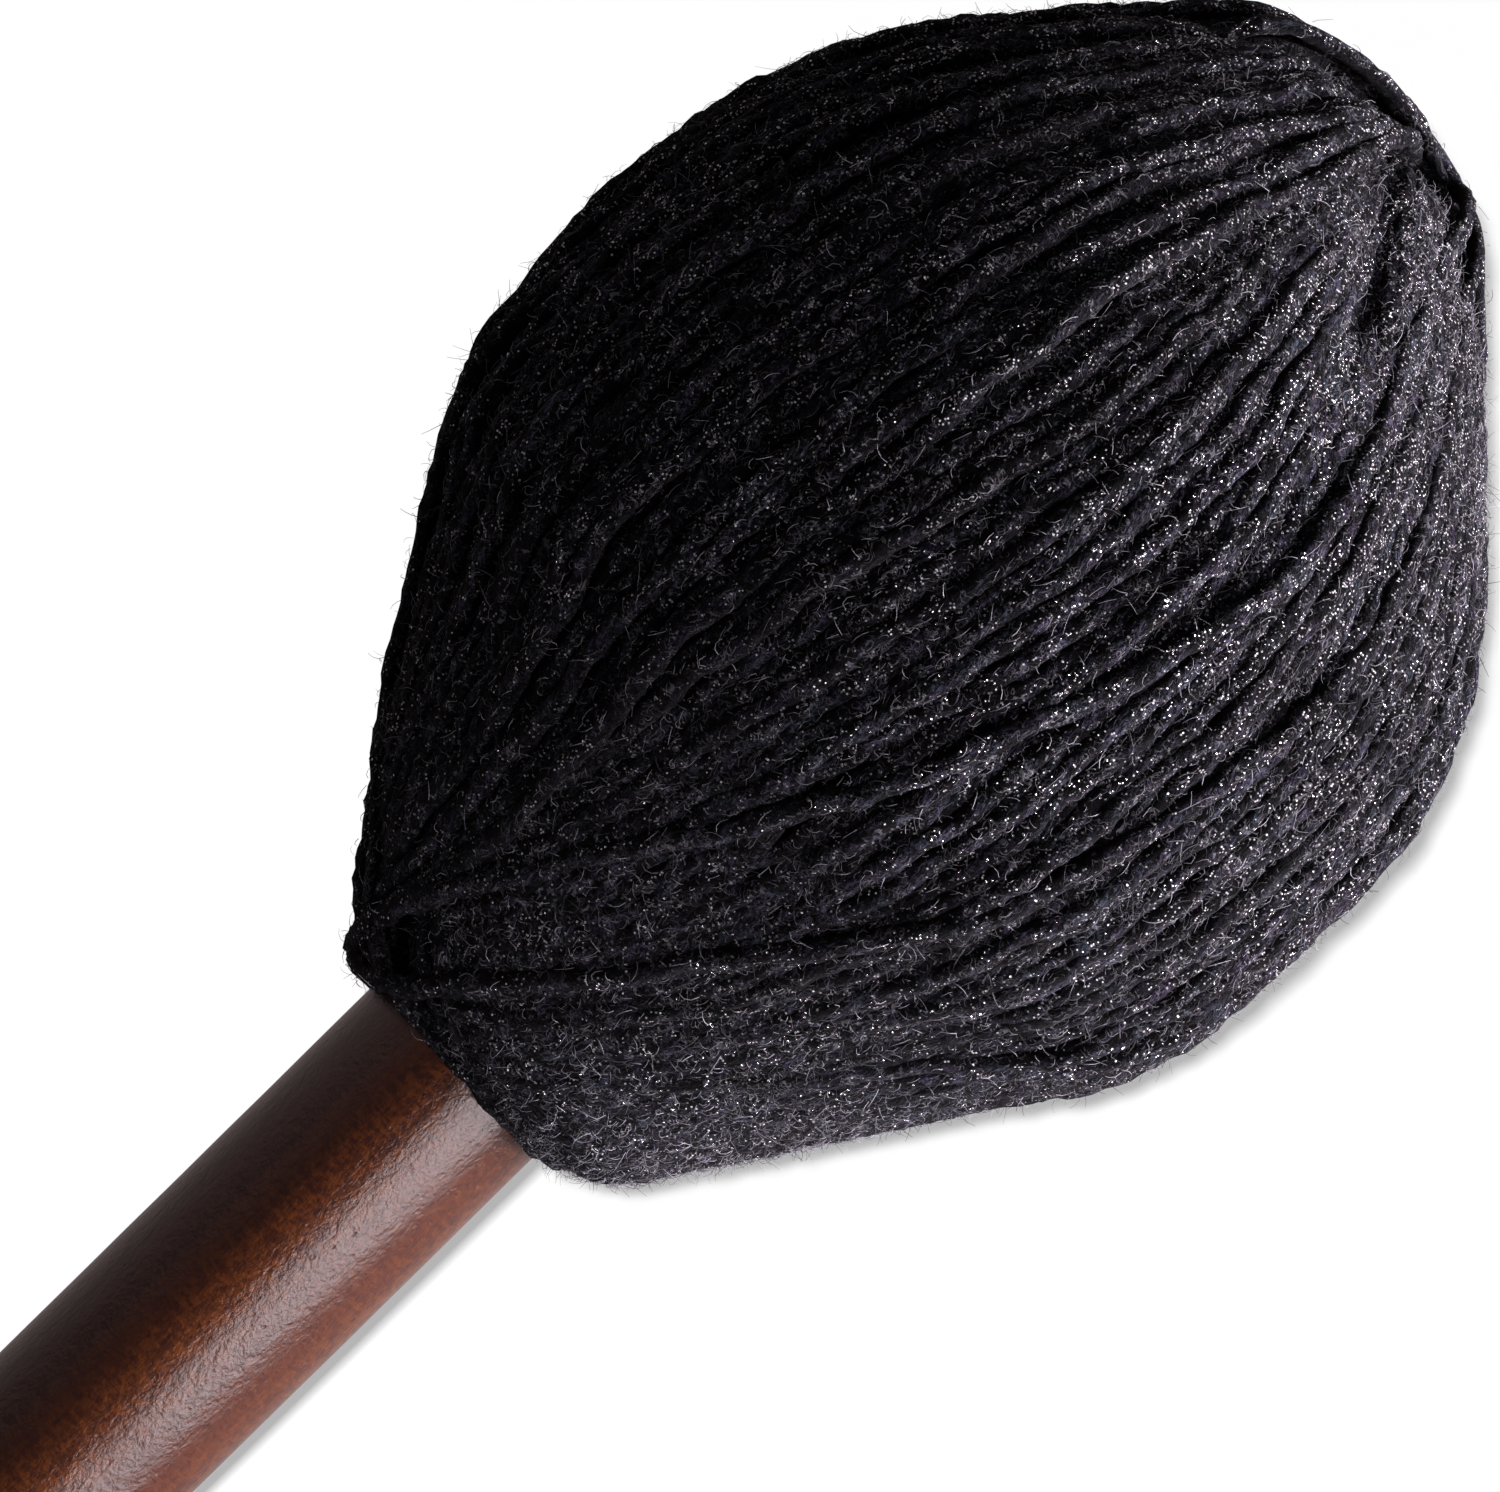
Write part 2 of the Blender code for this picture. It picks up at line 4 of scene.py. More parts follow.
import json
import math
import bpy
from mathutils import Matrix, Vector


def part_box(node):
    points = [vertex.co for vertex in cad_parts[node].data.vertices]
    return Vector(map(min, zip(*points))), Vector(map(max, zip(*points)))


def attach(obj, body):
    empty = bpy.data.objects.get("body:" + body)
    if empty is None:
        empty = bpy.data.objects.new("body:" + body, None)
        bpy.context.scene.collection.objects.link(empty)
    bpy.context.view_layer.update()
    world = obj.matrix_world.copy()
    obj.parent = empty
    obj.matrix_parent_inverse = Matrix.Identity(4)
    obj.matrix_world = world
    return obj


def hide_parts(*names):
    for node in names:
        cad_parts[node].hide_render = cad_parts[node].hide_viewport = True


bl_info = {
    "name": "Gong mallet",
    "version": (1, 0, 0),
    "blender": (4, 5, 0),
    "location": "3D View > Sidebar > Mallet",
    "description": "Winds, pads and finishes a gong mallet round its packed model",
    "category": "Object",
}

from functools import cache

import bpy
import numpy as np
from mathutils import Matrix, Vector

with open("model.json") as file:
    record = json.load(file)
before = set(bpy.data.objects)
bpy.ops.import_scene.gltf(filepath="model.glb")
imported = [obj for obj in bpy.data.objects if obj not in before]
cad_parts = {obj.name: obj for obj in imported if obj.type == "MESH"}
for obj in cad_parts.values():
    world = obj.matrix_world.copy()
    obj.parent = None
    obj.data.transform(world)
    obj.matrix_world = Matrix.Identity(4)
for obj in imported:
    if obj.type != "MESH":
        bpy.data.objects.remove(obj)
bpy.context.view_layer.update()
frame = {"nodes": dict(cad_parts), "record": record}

MM = 0.001

# The mallet's own axes: z runs from the butt to the crown, and -x faces up when it lies down.
BUTT_MOUNT = frame["record"]["mounts"][0]
BUTT = Vector(BUTT_MOUNT["pos_m"])
AXIS = -Vector(BUTT_MOUNT["axis"]).normalized()
ACROSS = Vector((0, 1, 0))
UNDER = ACROSS.cross(AXIS)
MALLET = Matrix.Translation(BUTT) @ Matrix((UNDER, ACROSS, AXIS)).transposed().to_4x4()
TILT = math.atan2(AXIS.z, AXIS.x)

# Upwards from the floor, in the mallet's own axes, and how the yarn is pressed where the head rests
FLOOR_WAY = np.array((UNDER.z, ACROSS.z, AXIS.z))
SOFT_HEIGHT = 1.5 * MM
LEAST_HEIGHT = 0.02 * MM
PRESSED = 0.3

# The handle, measured from its butt
OVERALL_LENGTH = 394 * MM
HANDLE_RADIUS = 12.7 * MM
BUTT_ROUNDING = 6 * MM
TENON_RADIUS = 8 * MM
TENON_TOP = 344.4 * MM
BORE_RADIUS = 4.3 * MM
BORE_FLOOR = 304.1 * MM

# The core and the tie, measured from the base of the head, and the room that the thread has in its groove
CORE_HEIGHT = 40 * MM
TIE_HEIGHT = 14 * MM
THREAD_RADIUS = 0.7 * MM
SEAT = 0.3 * MM

# The head
HEAD_LENGTH = 146.5 * MM
HEAD_RADIUS = 55.75 * MM
BASE_RADIUS = 17.5 * MM
CROWN_RADIUS = 14.3 * MM
CONE_ANGLE = math.radians(34.3)
SHOULDER_ANGLE = math.radians(44.1)
# How far each corner of the outline is rounded, before and after it, from the base to the crown
ROUNDINGS = ((3.5 * MM, 3.5 * MM), (11 * MM, 19 * MM), (24 * MM, 23 * MM), (8 * MM, 7 * MM))
# The wound head is a little lopsided: its crown is off to one side and lower, and its base is slanted.
CROWN_SHIFT = 5.2 * MM
CROWN_DROP = 0.8 * MM
BASE_SLANT = 0.055
BASE_SHIFT = 0.4 * MM
# The dimple where the yarn is gathered, from the crown down the side that faces up: the height, the place to
# the side and the depth of either end
DIMPLE = ((143.5 * MM, 1.3 * MM, 1.5 * MM), (125.0 * MM, -10.3 * MM, 5.0 * MM))
DIMPLE_WIDTH = 2.6 * MM
HEAD_BASE = OVERALL_LENGTH - HEAD_LENGTH
SHOULDER_TOP = HEAD_BASE + CORE_HEIGHT
PLY_THICKNESS = 1.25 * MM

# From a turn's nearest place to the crown's middle, each of its legs goes this far round before the belt.
HALF_TURN = math.radians(98)
# The yarn is followed in steps of this length.
STEP = 0.7 * MM
# The most triangles in one piece of yarn
PIECE_FACES = 170000


# Settings that a user may change


class MalletYarnSettings(bpy.types.PropertyGroup):
    """How the yarn is wound"""

    strand: bpy.props.FloatProperty(
        name="Strand", description="Diameter of the yarn", default=2.45 * MM, min=1 * MM, unit="LENGTH"
    )
    inner_layers: bpy.props.IntProperty(
        name="Inner layers", description="Layers of yarn that the outer ones cover", default=2, min=1
    )
    outer_layers: bpy.props.IntProperty(
        name="Outer layers", description="Layers of yarn whose strands can show", default=2, min=1
    )
    fibres: bpy.props.IntProperty(
        name="Stray fibres", description="Number of stray fibres on the yarn", default=42000, min=0
    )
    seed: bpy.props.IntProperty(name="Seed", description="Picks one lay of the yarn", default=7)
    shade: bpy.props.FloatVectorProperty(
        name="Yarn colour",
        description="Colour of the yarn",
        subtype="COLOR",
        default=(0.0146, 0.0157, 0.0222),
    )
    fibre_shade: bpy.props.FloatVectorProperty(
        name="Fibre colour",
        description="Colour of the stray fibres",
        subtype="COLOR",
        default=(0.16, 0.16, 0.19),
    )


class MalletHandleSettings(bpy.types.PropertyGroup):
    """How the handle is stained"""

    stain: bpy.props.FloatVectorProperty(
        name="Stain", description="Main colour of the wood", subtype="COLOR", default=(0.034, 0.0072, 0.0046)
    )
    # The glow is painted light: the warm colour of the bands where the lamps fall on the handle, and of its
    # figure.
    glow: bpy.props.FloatVectorProperty(
        name="Glow",
        description="Colour where the stain is thin",
        subtype="COLOR",
        default=(0.140, 0.038, 0.0075),
    )
    pores: bpy.props.FloatVectorProperty(
        name="Pores",
        description="Colour of the pores and the dark grain",
        subtype="COLOR",
        default=(0.006, 0.0026, 0.0022),
    )
    gloss: bpy.props.FloatProperty(
        name="Varnish roughness", description="Roughness of the varnish", default=0.24, min=0, max=1
    )


class MalletStudioSettings(bpy.types.PropertyGroup):
    """Light, floor and camera"""

    key: bpy.props.FloatProperty(
        name="Key light", description="Power of the long softbox", default=8.3, unit="POWER"
    )
    side: bpy.props.FloatProperty(
        name="Side light", description="Power of the side panel", default=72, unit="POWER"
    )
    rim: bpy.props.FloatProperty(
        name="Rim light", description="Power of the strip behind", default=0.30, unit="POWER"
    )
    floor_lamp: bpy.props.FloatProperty(
        name="Floor lamp", description="Power of the lamp for the floor alone", default=26, unit="POWER"
    )
    fill: bpy.props.FloatProperty(
        name="Fill light", description="Brightness of the surroundings", default=0.08
    )
    floor: bpy.props.FloatProperty(
        name="Floor light", description="Brightness of the lit floor", default=0.42
    )
    reflected: bpy.props.FloatProperty(
        name="Floor in reflections",
        description="Brightness of the floor that the varnish mirrors",
        default=0.52,
    )
    distance: bpy.props.FloatProperty(
        name="Camera distance", description="From the mallet's axis", default=1.2, unit="LENGTH"
    )
    width: bpy.props.FloatProperty(
        name="View width",
        description="Width of the view at the mallet's axis",
        default=162.2 * MM,
        unit="LENGTH",
    )


# Shader maths


class Value:
    """One output of a shader node, so that maths on it can be written as Python."""

    def __init__(self, finish, socket):
        self.finish = finish
        self.socket = socket

    def maths(self, operation, *others):
        return self.finish.node("ShaderNodeMath", {"operation": operation}, dict(enumerate((self, *others))))

    def __add__(self, other):
        return self.maths("ADD", other)

    def __sub__(self, other):
        return self.maths("SUBTRACT", other)

    def __mul__(self, other):
        return self.maths("MULTIPLY", other)

    def __rsub__(self, other):
        return self.finish.node("ShaderNodeMath", {"operation": "SUBTRACT"}, {0: other, 1: self})

    __radd__ = __add__

    def __pow__(self, other):
        return self.maths("POWER", other)

    def sine(self):
        return self.maths("SINE")

    def cosine(self):
        return self.maths("COSINE")

    def size(self):
        return self.maths("ABSOLUTE")

    def above(self, edge):
        return self.maths("GREATER_THAN", edge)

    def spread(self, low, high, to_low=0.0, to_high=1.0):
        """Stretches low to high over another range, and holds it there."""
        sockets = {"Value": self, "From Min": low, "From Max": high, "To Min": to_low, "To Max": to_high}
        return self.finish.node("ShaderNodeMapRange", {"interpolation_type": "SMOOTHSTEP"}, sockets)


class Finish:
    """A material being made: one method adds every node."""

    def __init__(self, name):
        self.material = bpy.data.materials.new(name)
        self.material.use_nodes = True
        self.tree = self.material.node_tree
        self.tree.nodes.clear()

    def node(self, kind, settings=None, sockets=None, output=0):
        node = self.tree.nodes.new(kind)
        for name, value in (settings or {}).items():
            setattr(node, name, value)
        for name, value in (sockets or {}).items():
            if isinstance(value, Value):
                self.tree.links.new(value.socket, node.inputs[name])
            else:
                node.inputs[name].default_value = value
        return Value(self, node.outputs[output]) if len(node.outputs) else None

    def place(self):
        """Place in the row's frame, in metres."""
        return self.node("ShaderNodeTexCoord", output="Object")

    def along_mallet(self):
        """Place in the mallet's own axes, in metres."""
        sockets = {"Vector": self.place(), "Location": BUTT, "Rotation": (0, math.pi / 2 - TILT, 0)}
        return self.node("ShaderNodeMapping", {"vector_type": "TEXTURE"}, sockets)

    def tone(self):
        """How pale a strand or a fibre is: a random tone, darkened by painted shade on the sides and tips of
        the strands and on the inner yarn.
        """
        return self.node("ShaderNodeAttribute", {"attribute_name": "tone"}, output="Fac")

    def vectors(self, operation, *values):
        return self.node("ShaderNodeVectorMath", {"operation": operation}, dict(enumerate(values)))

    def stretch(self, place, scale):
        return self.vectors("MULTIPLY", place, scale)

    def split(self, vector):
        node = self.tree.nodes.new("ShaderNodeSeparateXYZ")
        self.tree.links.new(vector.socket, node.inputs[0])
        return [Value(self, socket) for socket in node.outputs]

    def join(self, x, y, z):
        return self.node("ShaderNodeCombineXYZ", None, {0: x, 1: y, 2: z})

    def noise(self, place, scale, detail=3.0, roughness=0.5, distortion=0.0):
        sockets = {"Vector": place, "Scale": scale, "Detail": detail, "Roughness": roughness}
        return self.node("ShaderNodeTexNoise", None, sockets | {"Distortion": distortion})

    def stretched(self, place, scales, *look):
        """Noise with its own scale along each axis. The rest is its detail, roughness and distortion."""
        return self.noise(self.stretch(place, scales), 1.0, *look)

    def cells(self, place, scale, output="Distance"):
        return self.node("ShaderNodeTexVoronoi", None, {"Vector": place, "Scale": scale}, output)

    def mix(self, share, first, second):
        colours = [c if isinstance(c, Value) else (*c, 1) for c in (first, second)]
        settings = {"data_type": "RGBA"}
        return self.node("ShaderNodeMix", settings, {0: share, 6: colours[0], 7: colours[1]}, 2)

    def bump(self, height, distance, strength=1.0, normal=None):
        sockets = {"Height": height, "Distance": distance, "Strength": strength}
        if normal:
            sockets["Normal"] = normal
        return self.node("ShaderNodeBump", None, sockets)

    def principled(self, **sockets):
        named = {name.replace("_", " "): value for name, value in sockets.items()}
        shader = self.node("ShaderNodeBsdfPrincipled", None, named)
        self.node("ShaderNodeOutputMaterial", None, {"Surface": shader})
        return self.material


# Finishes


@cache
def charcoal_yarn():
    """Soft woolly yarn: fibres that wind along the strand, fluff, curled ends and many bright specks. Its
    hollows and the sides of its strands are darker with painted shade, and the specks are metallic flecks
    that glint in the lamps, set thicker where the glints fall as painted glints.
    """
    settings = bpy.context.scene.mallet_yarn
    finish = Finish("charcoal_yarn")
    along, around, _ = finish.split(finish.node("ShaderNodeUVMap", {"uv_map": "strand"}))
    place, tone = finish.place(), finish.tone()
    angle = (around + along * (1 / 20)) * (2 * math.pi)
    back = (around - along * (1 / 8)) * (2 * math.pi)
    wound = finish.join(angle.cosine() * 1.2, angle.sine() * 1.2, along * 0.22)
    fibres = finish.noise(wound, 2.7, 3, 0.7, 0.9)
    wound_back = finish.join(back.cosine() * 1.2, back.sine() * 1.2, along * 0.3)
    crossed = finish.noise(wound_back, 3.4, 2, 0.7, 1.2)
    fluff = finish.noise(place, 1500, 4, 0.75, 1.0)
    by_axis = finish.along_mallet()
    crown = finish.split(by_axis)[2].spread(HEAD_BASE + 40 * MM, HEAD_BASE + 135 * MM)
    hollows = finish.stretched(by_axis, (640, 640, 300), 2, 0.55)
    patch = finish.noise(place, 60, 2, 0.5)
    streaks = fibres.spread(0.46, 0.62) * 0.62 + crossed.spread(0.5, 0.66) * 0.38
    # Painted shade: the hollows of the bump are darkened, a little less towards the crown.
    gaps = hollows.spread(0.43 - crown * 0.06, 0.59 - crown * 0.03, 0.02, 1.25)
    share = streaks * fluff.spread(0.38, 0.62) * gaps * tone * (patch * 1.6 + 1.0)
    dark = tuple(0.05 * c for c in settings.shade)
    violet = (5.0 * settings.shade[0], 4.0 * settings.shade[1], 5.2 * settings.shade[2])
    bluish = (3.9 * settings.shade[0], 4.7 * settings.shade[1], 4.8 * settings.shade[2])
    cast = finish.mix(finish.noise(place, 230, 3, 0.6).spread(0.4, 0.6), violet, bluish)
    colour = finish.mix(share, dark, cast)
    curls = (finish.noise(place, 470, 1.2, 0.5, 1.9) - 0.5).size().spread(0.028, 0.008)
    curls = curls * finish.noise(place, 640, 1, 0.5).spread(0.5, 0.58)
    hooks = (finish.noise(place, 690, 1.2, 0.5, 1.4) - 0.53).size().spread(0.030, 0.010)
    curls = curls * 0.7 + hooks * finish.noise(place, 410, 1, 0.5).spread(0.52, 0.6) * 0.6
    colour = finish.mix(curls, colour, settings.fibre_shade)
    random_way = finish.cells(place, 3700, "Color")
    # Bright specks: metallic flecks with tilted normals that glint in the lamps. They are set thicker towards
    # the crown and kept to the tops of the strands, where the glints fall, as painted glints.
    glint_spot = finish.split(random_way)[0].above(0.9 - crown * 0.12) * finish.cells(place, 3700).spread(0.6, 0.3)
    glint_spot = glint_spot * tone.spread(0.15, 0.5) * finish.noise(place, 300, 2, 0.5).spread(0.44 - crown * 0.06, 0.54)
    colour = finish.mix(glint_spot, colour, (0.9, 0.9, 0.97))
    facing = finish.node("ShaderNodeNewGeometry", output="Normal")
    tilt = finish.vectors("MULTIPLY_ADD", random_way, (2.3,) * 3, (-1.15,) * 3)
    tilted = finish.vectors("NORMALIZE", finish.vectors("ADD", facing, finish.stretch(tilt, glint_spot)))
    height = fibres * 0.7 + crossed * 0.35 + fluff * 0.8 + hollows * 0.9 + curls * 0.2
    return finish.principled(
        Base_Color=colour,
        Metallic=glint_spot,
        Roughness=0.8 - glint_spot * 0.56,
        Normal=finish.bump(height, 0.9 * MM, 1.0, tilted),
        Specular_IOR_Level=0.05,
        Sheen_Weight=0.05,
        Sheen_Roughness=0.25,
        Sheen_Tint=(0.85, 0.82, 0.95, 1),
    )


@cache
def stray_fibre():
    """Single fibres, paler than the yarn, each a little different."""
    settings = bpy.context.scene.mallet_yarn
    finish = Finish("stray_fibre")
    streak = finish.noise(finish.place(), 900, 2, 0.5)
    dark = tuple(0.10 * c for c in settings.fibre_shade)
    pale = tuple(2.6 * c for c in settings.fibre_shade)
    colour = finish.mix(finish.tone() ** 1.6 * (streak + 0.4), dark, pale)
    return finish.principled(Base_Color=colour, Roughness=0.45 + streak * 0.2, Specular_IOR_Level=0.4)


@cache
def stained_hardwood():
    """Dark stained wood under satin varnish: lengthwise grain, a mottled figure, pores and small dents, and
    warm bands of painted light on the side that faces the lamps.
    """
    settings = bpy.context.scene.mallet_handle
    finish = Finish("stained_hardwood")
    place = finish.along_mallet()
    grain = finish.stretched(place, (1300, 1300, 55), 4, 0.65)
    streaks = finish.stretched(place, (210, 210, 6), 3, 0.55)
    figure = finish.stretched(place, (620, 620, 1400), 4, 0.7, 0.4)
    flecks = finish.stretched(place, (2100, 2100, 1000), 2, 0.6)
    pores = finish.stretched(place, (2300, 2300, 420), 2, 0.5)
    y = finish.split(place)[1] * (1 / MM)
    # Painted light: warm bands of the glow colour along the side of the handle where the key light falls,
    # beside the highlight, and a weaker one on the edge that faces the side panel.
    painted_light_band = (y + streaks * 5 - 2.4).size().spread(5.4, 0.6)
    painted_light_band = painted_light_band + (y + 12.3 + streaks).size().spread(4.5, 1.0) * 0.3
    warmth = figure.spread(0.42, 0.6) * 0.6 + flecks.spread(0.42, 0.62) * 0.2
    warmth = warmth + streaks.spread(0.42, 0.62) * 0.2
    colour = finish.mix(warmth * (painted_light_band * 0.75 + 0.25), settings.stain, settings.glow)
    shadow = grain.spread(0.5, 0.68) * 0.25 + streaks.spread(0.5, 0.38) * 0.3
    colour = finish.mix(shadow, colour, settings.pores)
    colour = finish.mix(pores.spread(0.66, 0.74) * 0.4, colour, settings.pores)
    pits = finish.cells(finish.stretch(place, (760, 760, 560)), 1.0).spread(0.2, 0.08)
    pits = pits * finish.stretched(place, (90, 90, 90), 2, 0.5).spread(0.5, 0.62)
    peel = finish.stretched(place, (1900, 1900, 1500), 3, 0.7)
    ripple = finish.stretched(place, (260, 260, 90), 3, 0.6)
    dimples = finish.stretched(place, (760, 760, 420), 2, 0.6, 0.6)
    height = ripple * 0.5 + dimples * 0.75 + peel * 0.6 + grain * 0.12 - pits * 0.3
    normal = finish.bump(height, 0.14 * MM, 0.9)
    roughness = settings.gloss + pits * 0.2 + grain * 0.06
    return finish.principled(Base_Color=colour, Roughness=roughness, Normal=normal, Specular_IOR_Level=0.5)


@cache
def turned_steel(name, colour, roughness):
    """Turned metal: fine grooves round the axis and a few stains of oil."""
    finish = Finish(name)
    place = finish.along_mallet()
    x, y, z = finish.split(place)
    out = (x * x + y * y) ** 0.5
    grooves = finish.noise(finish.join(out * 9000, z * 9000, 0.0), 1.0, 3, 0.7)
    stains = finish.noise(place, 160, 4, 0.6)
    stained = tuple(0.62 * c for c in colour)
    colour = finish.mix(stains.spread(0.4, 0.7) * 0.5, colour, stained)
    return finish.principled(
        Base_Color=colour,
        Metallic=1.0,
        Roughness=roughness + stains * 0.12 + grooves * 0.08,
        Normal=finish.bump(grooves, 0.03 * MM, 0.5),
    )


@cache
def black_rubber():
    """Matt moulded sheet with a fine grain."""
    finish = Finish("black_rubber")
    place = finish.along_mallet()
    grain = finish.noise(place, 2600, 3, 0.6)
    bloom = finish.noise(place, 120, 3, 0.5)
    colour = finish.mix(bloom.spread(0.4, 0.8), (0.014, 0.014, 0.015), (0.036, 0.036, 0.038))
    normal = finish.bump(grain, 0.05 * MM, 0.6)
    return finish.principled(Base_Color=colour, Roughness=0.7 + grain * 0.15, Normal=normal)


@cache
def plain_maple():
    """Bare turned maple: growth rings along the block and small flecks."""
    finish = Finish("plain_maple")
    place = finish.along_mallet()
    bent = finish.stretched(place, (60, 60, 12), 2, 0.5)
    rings = (finish.split(place)[0] * 900 + bent * 9).sine().spread(-0.2, 1.0)
    flecks = finish.stretched(place, (1500, 1500, 260), 3, 0.6)
    colour = finish.mix(rings * 0.6, (0.62, 0.41, 0.21), (0.50, 0.29, 0.13))
    colour = finish.mix(flecks.spread(0.5, 0.7) * 0.4, colour, (0.43, 0.24, 0.11))
    normal = finish.bump(flecks, 0.04 * MM, 0.5)
    return finish.principled(Base_Color=colour, Roughness=0.55 + flecks * 0.15, Normal=normal)


@cache
def birch_plywood():
    """Bare plywood: pale and dark layers on its edge."""
    finish = Finish("birch_plywood")
    place = finish.along_mallet()
    grain = finish.stretched(place, (60, 1100, 1100), 3, 0.6)
    layers = (finish.split(place)[2] * (math.pi / PLY_THICKNESS) + grain * 0.4).sine().spread(-0.25, 0.25)
    colour = finish.mix(layers, (0.56, 0.37, 0.19), (0.36, 0.20, 0.09))
    colour = finish.mix(grain.spread(0.5, 0.75) * 0.5, colour, (0.27, 0.15, 0.07))
    normal = finish.bump(grain, 0.06 * MM, 0.6)
    return finish.principled(Base_Color=colour, Roughness=0.62 + grain * 0.15, Normal=normal)


@cache
def pressed_felt():
    """Dense grey felt: short fibres pressed every way."""
    finish = Finish("grey_felt")
    place = finish.along_mallet()
    fibres = finish.noise(place, 1500, 5, 0.7, 1.5)
    clumps = finish.noise(place, 210, 3, 0.6)
    colour = finish.mix(fibres.spread(0.3, 0.7) * 0.7 + clumps * 0.3, (0.14, 0.135, 0.13), (0.34, 0.33, 0.31))
    normal = finish.bump(fibres + clumps * 0.6, 0.25 * MM, 0.8)
    return finish.principled(Base_Color=colour, Roughness=0.9, Normal=normal, Sheen_Weight=0.4)


@cache
def cream_fleece():
    """Soft fleece with small curls."""
    finish = Finish("cream_fleece")
    place = finish.along_mallet()
    curls = finish.cells(place, 420)
    wisps = finish.noise(place, 1600, 4, 0.65, 1.2)
    colour = finish.mix(curls.spread(0.1, 0.75) * 0.7 + wisps * 0.25, (0.74, 0.69, 0.58), (0.46, 0.40, 0.31))
    normal = finish.bump(wisps * 0.4 - curls, 0.7 * MM, 0.8)
    return finish.principled(Base_Color=colour, Roughness=0.92, Normal=normal, Sheen_Weight=0.5)


@cache
def studio_floor(name, strength, near, far):
    """Pale floor that glows a little, as a lit table does. near is its colour on the side of the panel."""
    finish = Finish(name)
    place = finish.place()
    cloud = finish.noise(place, 3.0, 2, 0.5)
    colour = finish.mix(cloud, (0.50, 0.50, 0.50), (0.54, 0.54, 0.54))
    glow = finish.mix(finish.split(place)[1].spread(-15 * MM, 15 * MM), near, far)
    return finish.principled(
        Base_Color=colour,
        Roughness=0.9,
        Specular_IOR_Level=0.0,
        Emission_Color=glow,
        Emission_Strength=strength,
    )


# Meshes


def linked(name, data):
    """A new object in the scene."""
    item = bpy.data.objects.new(name, data)
    bpy.context.scene.collection.objects.link(item)
    return item


def mesh_object(name, places, loops, totals, finish):
    """A smooth-shaded object in the row's frame, from points in the mallet's own axes."""
    mesh = bpy.data.meshes.new(name)
    mesh.vertices.add(len(places))
    mesh.vertices.foreach_set("co", np.asarray(places, np.float32).ravel())
    mesh.loops.add(len(loops))
    mesh.loops.foreach_set("vertex_index", np.asarray(loops, np.int32))
    mesh.polygons.add(len(totals))
    starts = np.concatenate(([0], np.cumsum(totals)[:-1]))
    mesh.polygons.foreach_set("loop_start", starts.astype(np.int32))
    mesh.polygons.foreach_set("use_smooth", np.ones(len(totals), bool))
    mesh.update(calc_edges=True)
    mesh.transform(MALLET)
    mesh.materials.append(finish)
    return linked(name, mesh)


def rest_on_floor(places):
    """Presses what would reach below the floor flat on it, as the head's own weight does."""
    height = places @ FLOOR_WAY + BUTT.z
    pressed = np.maximum(SOFT_HEIGHT - (SOFT_HEIGHT - height) * PRESSED, LEAST_HEIGHT)
    lift = np.where(height < SOFT_HEIGHT, pressed - height, 0)
    return places + lift[:, None] * FLOOR_WAY


def add_map(item, name, corners):
    layer = item.data.uv_layers.new(name=name, do_init=False)
    layer.uv.foreach_set("vector", np.asarray(corners, np.float32).ravel())


def add_tone(item, values):
    layer = item.data.attributes.new("tone", "FLOAT", "POINT")
    layer.data.foreach_set("value", np.asarray(values, np.float32))


def declare(item, slot, *nodes):
    """Fixes a piece to the mallet and hides the nodes that it stands for."""
    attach(item, "root")
    if nodes:
        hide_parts(*nodes)


def tube_faces(rows, sides, first=0):
    """Corners of a closed tube's faces: the quads between its rings, and a fan at either end.

    Its points are numbered from first on, ring by ring, and the two tips come last.
    """
    index = first + np.arange(rows * sides).reshape(rows, sides)
    right = np.roll(index, -1, axis=1)
    quads = np.stack([index[:-1], right[:-1], right[1:], index[1:]], -1).reshape(-1, 4)
    low = np.stack([np.full(sides, first + rows * sides), right[0], index[0]], -1)
    high = np.stack([np.full(sides, first + rows * sides + 1), index[-1], right[-1]], -1)
    loops = np.concatenate([quads.ravel(), low.ravel(), high.ravel()])
    return loops, np.repeat((4, 3), (len(quads), 2 * sides))


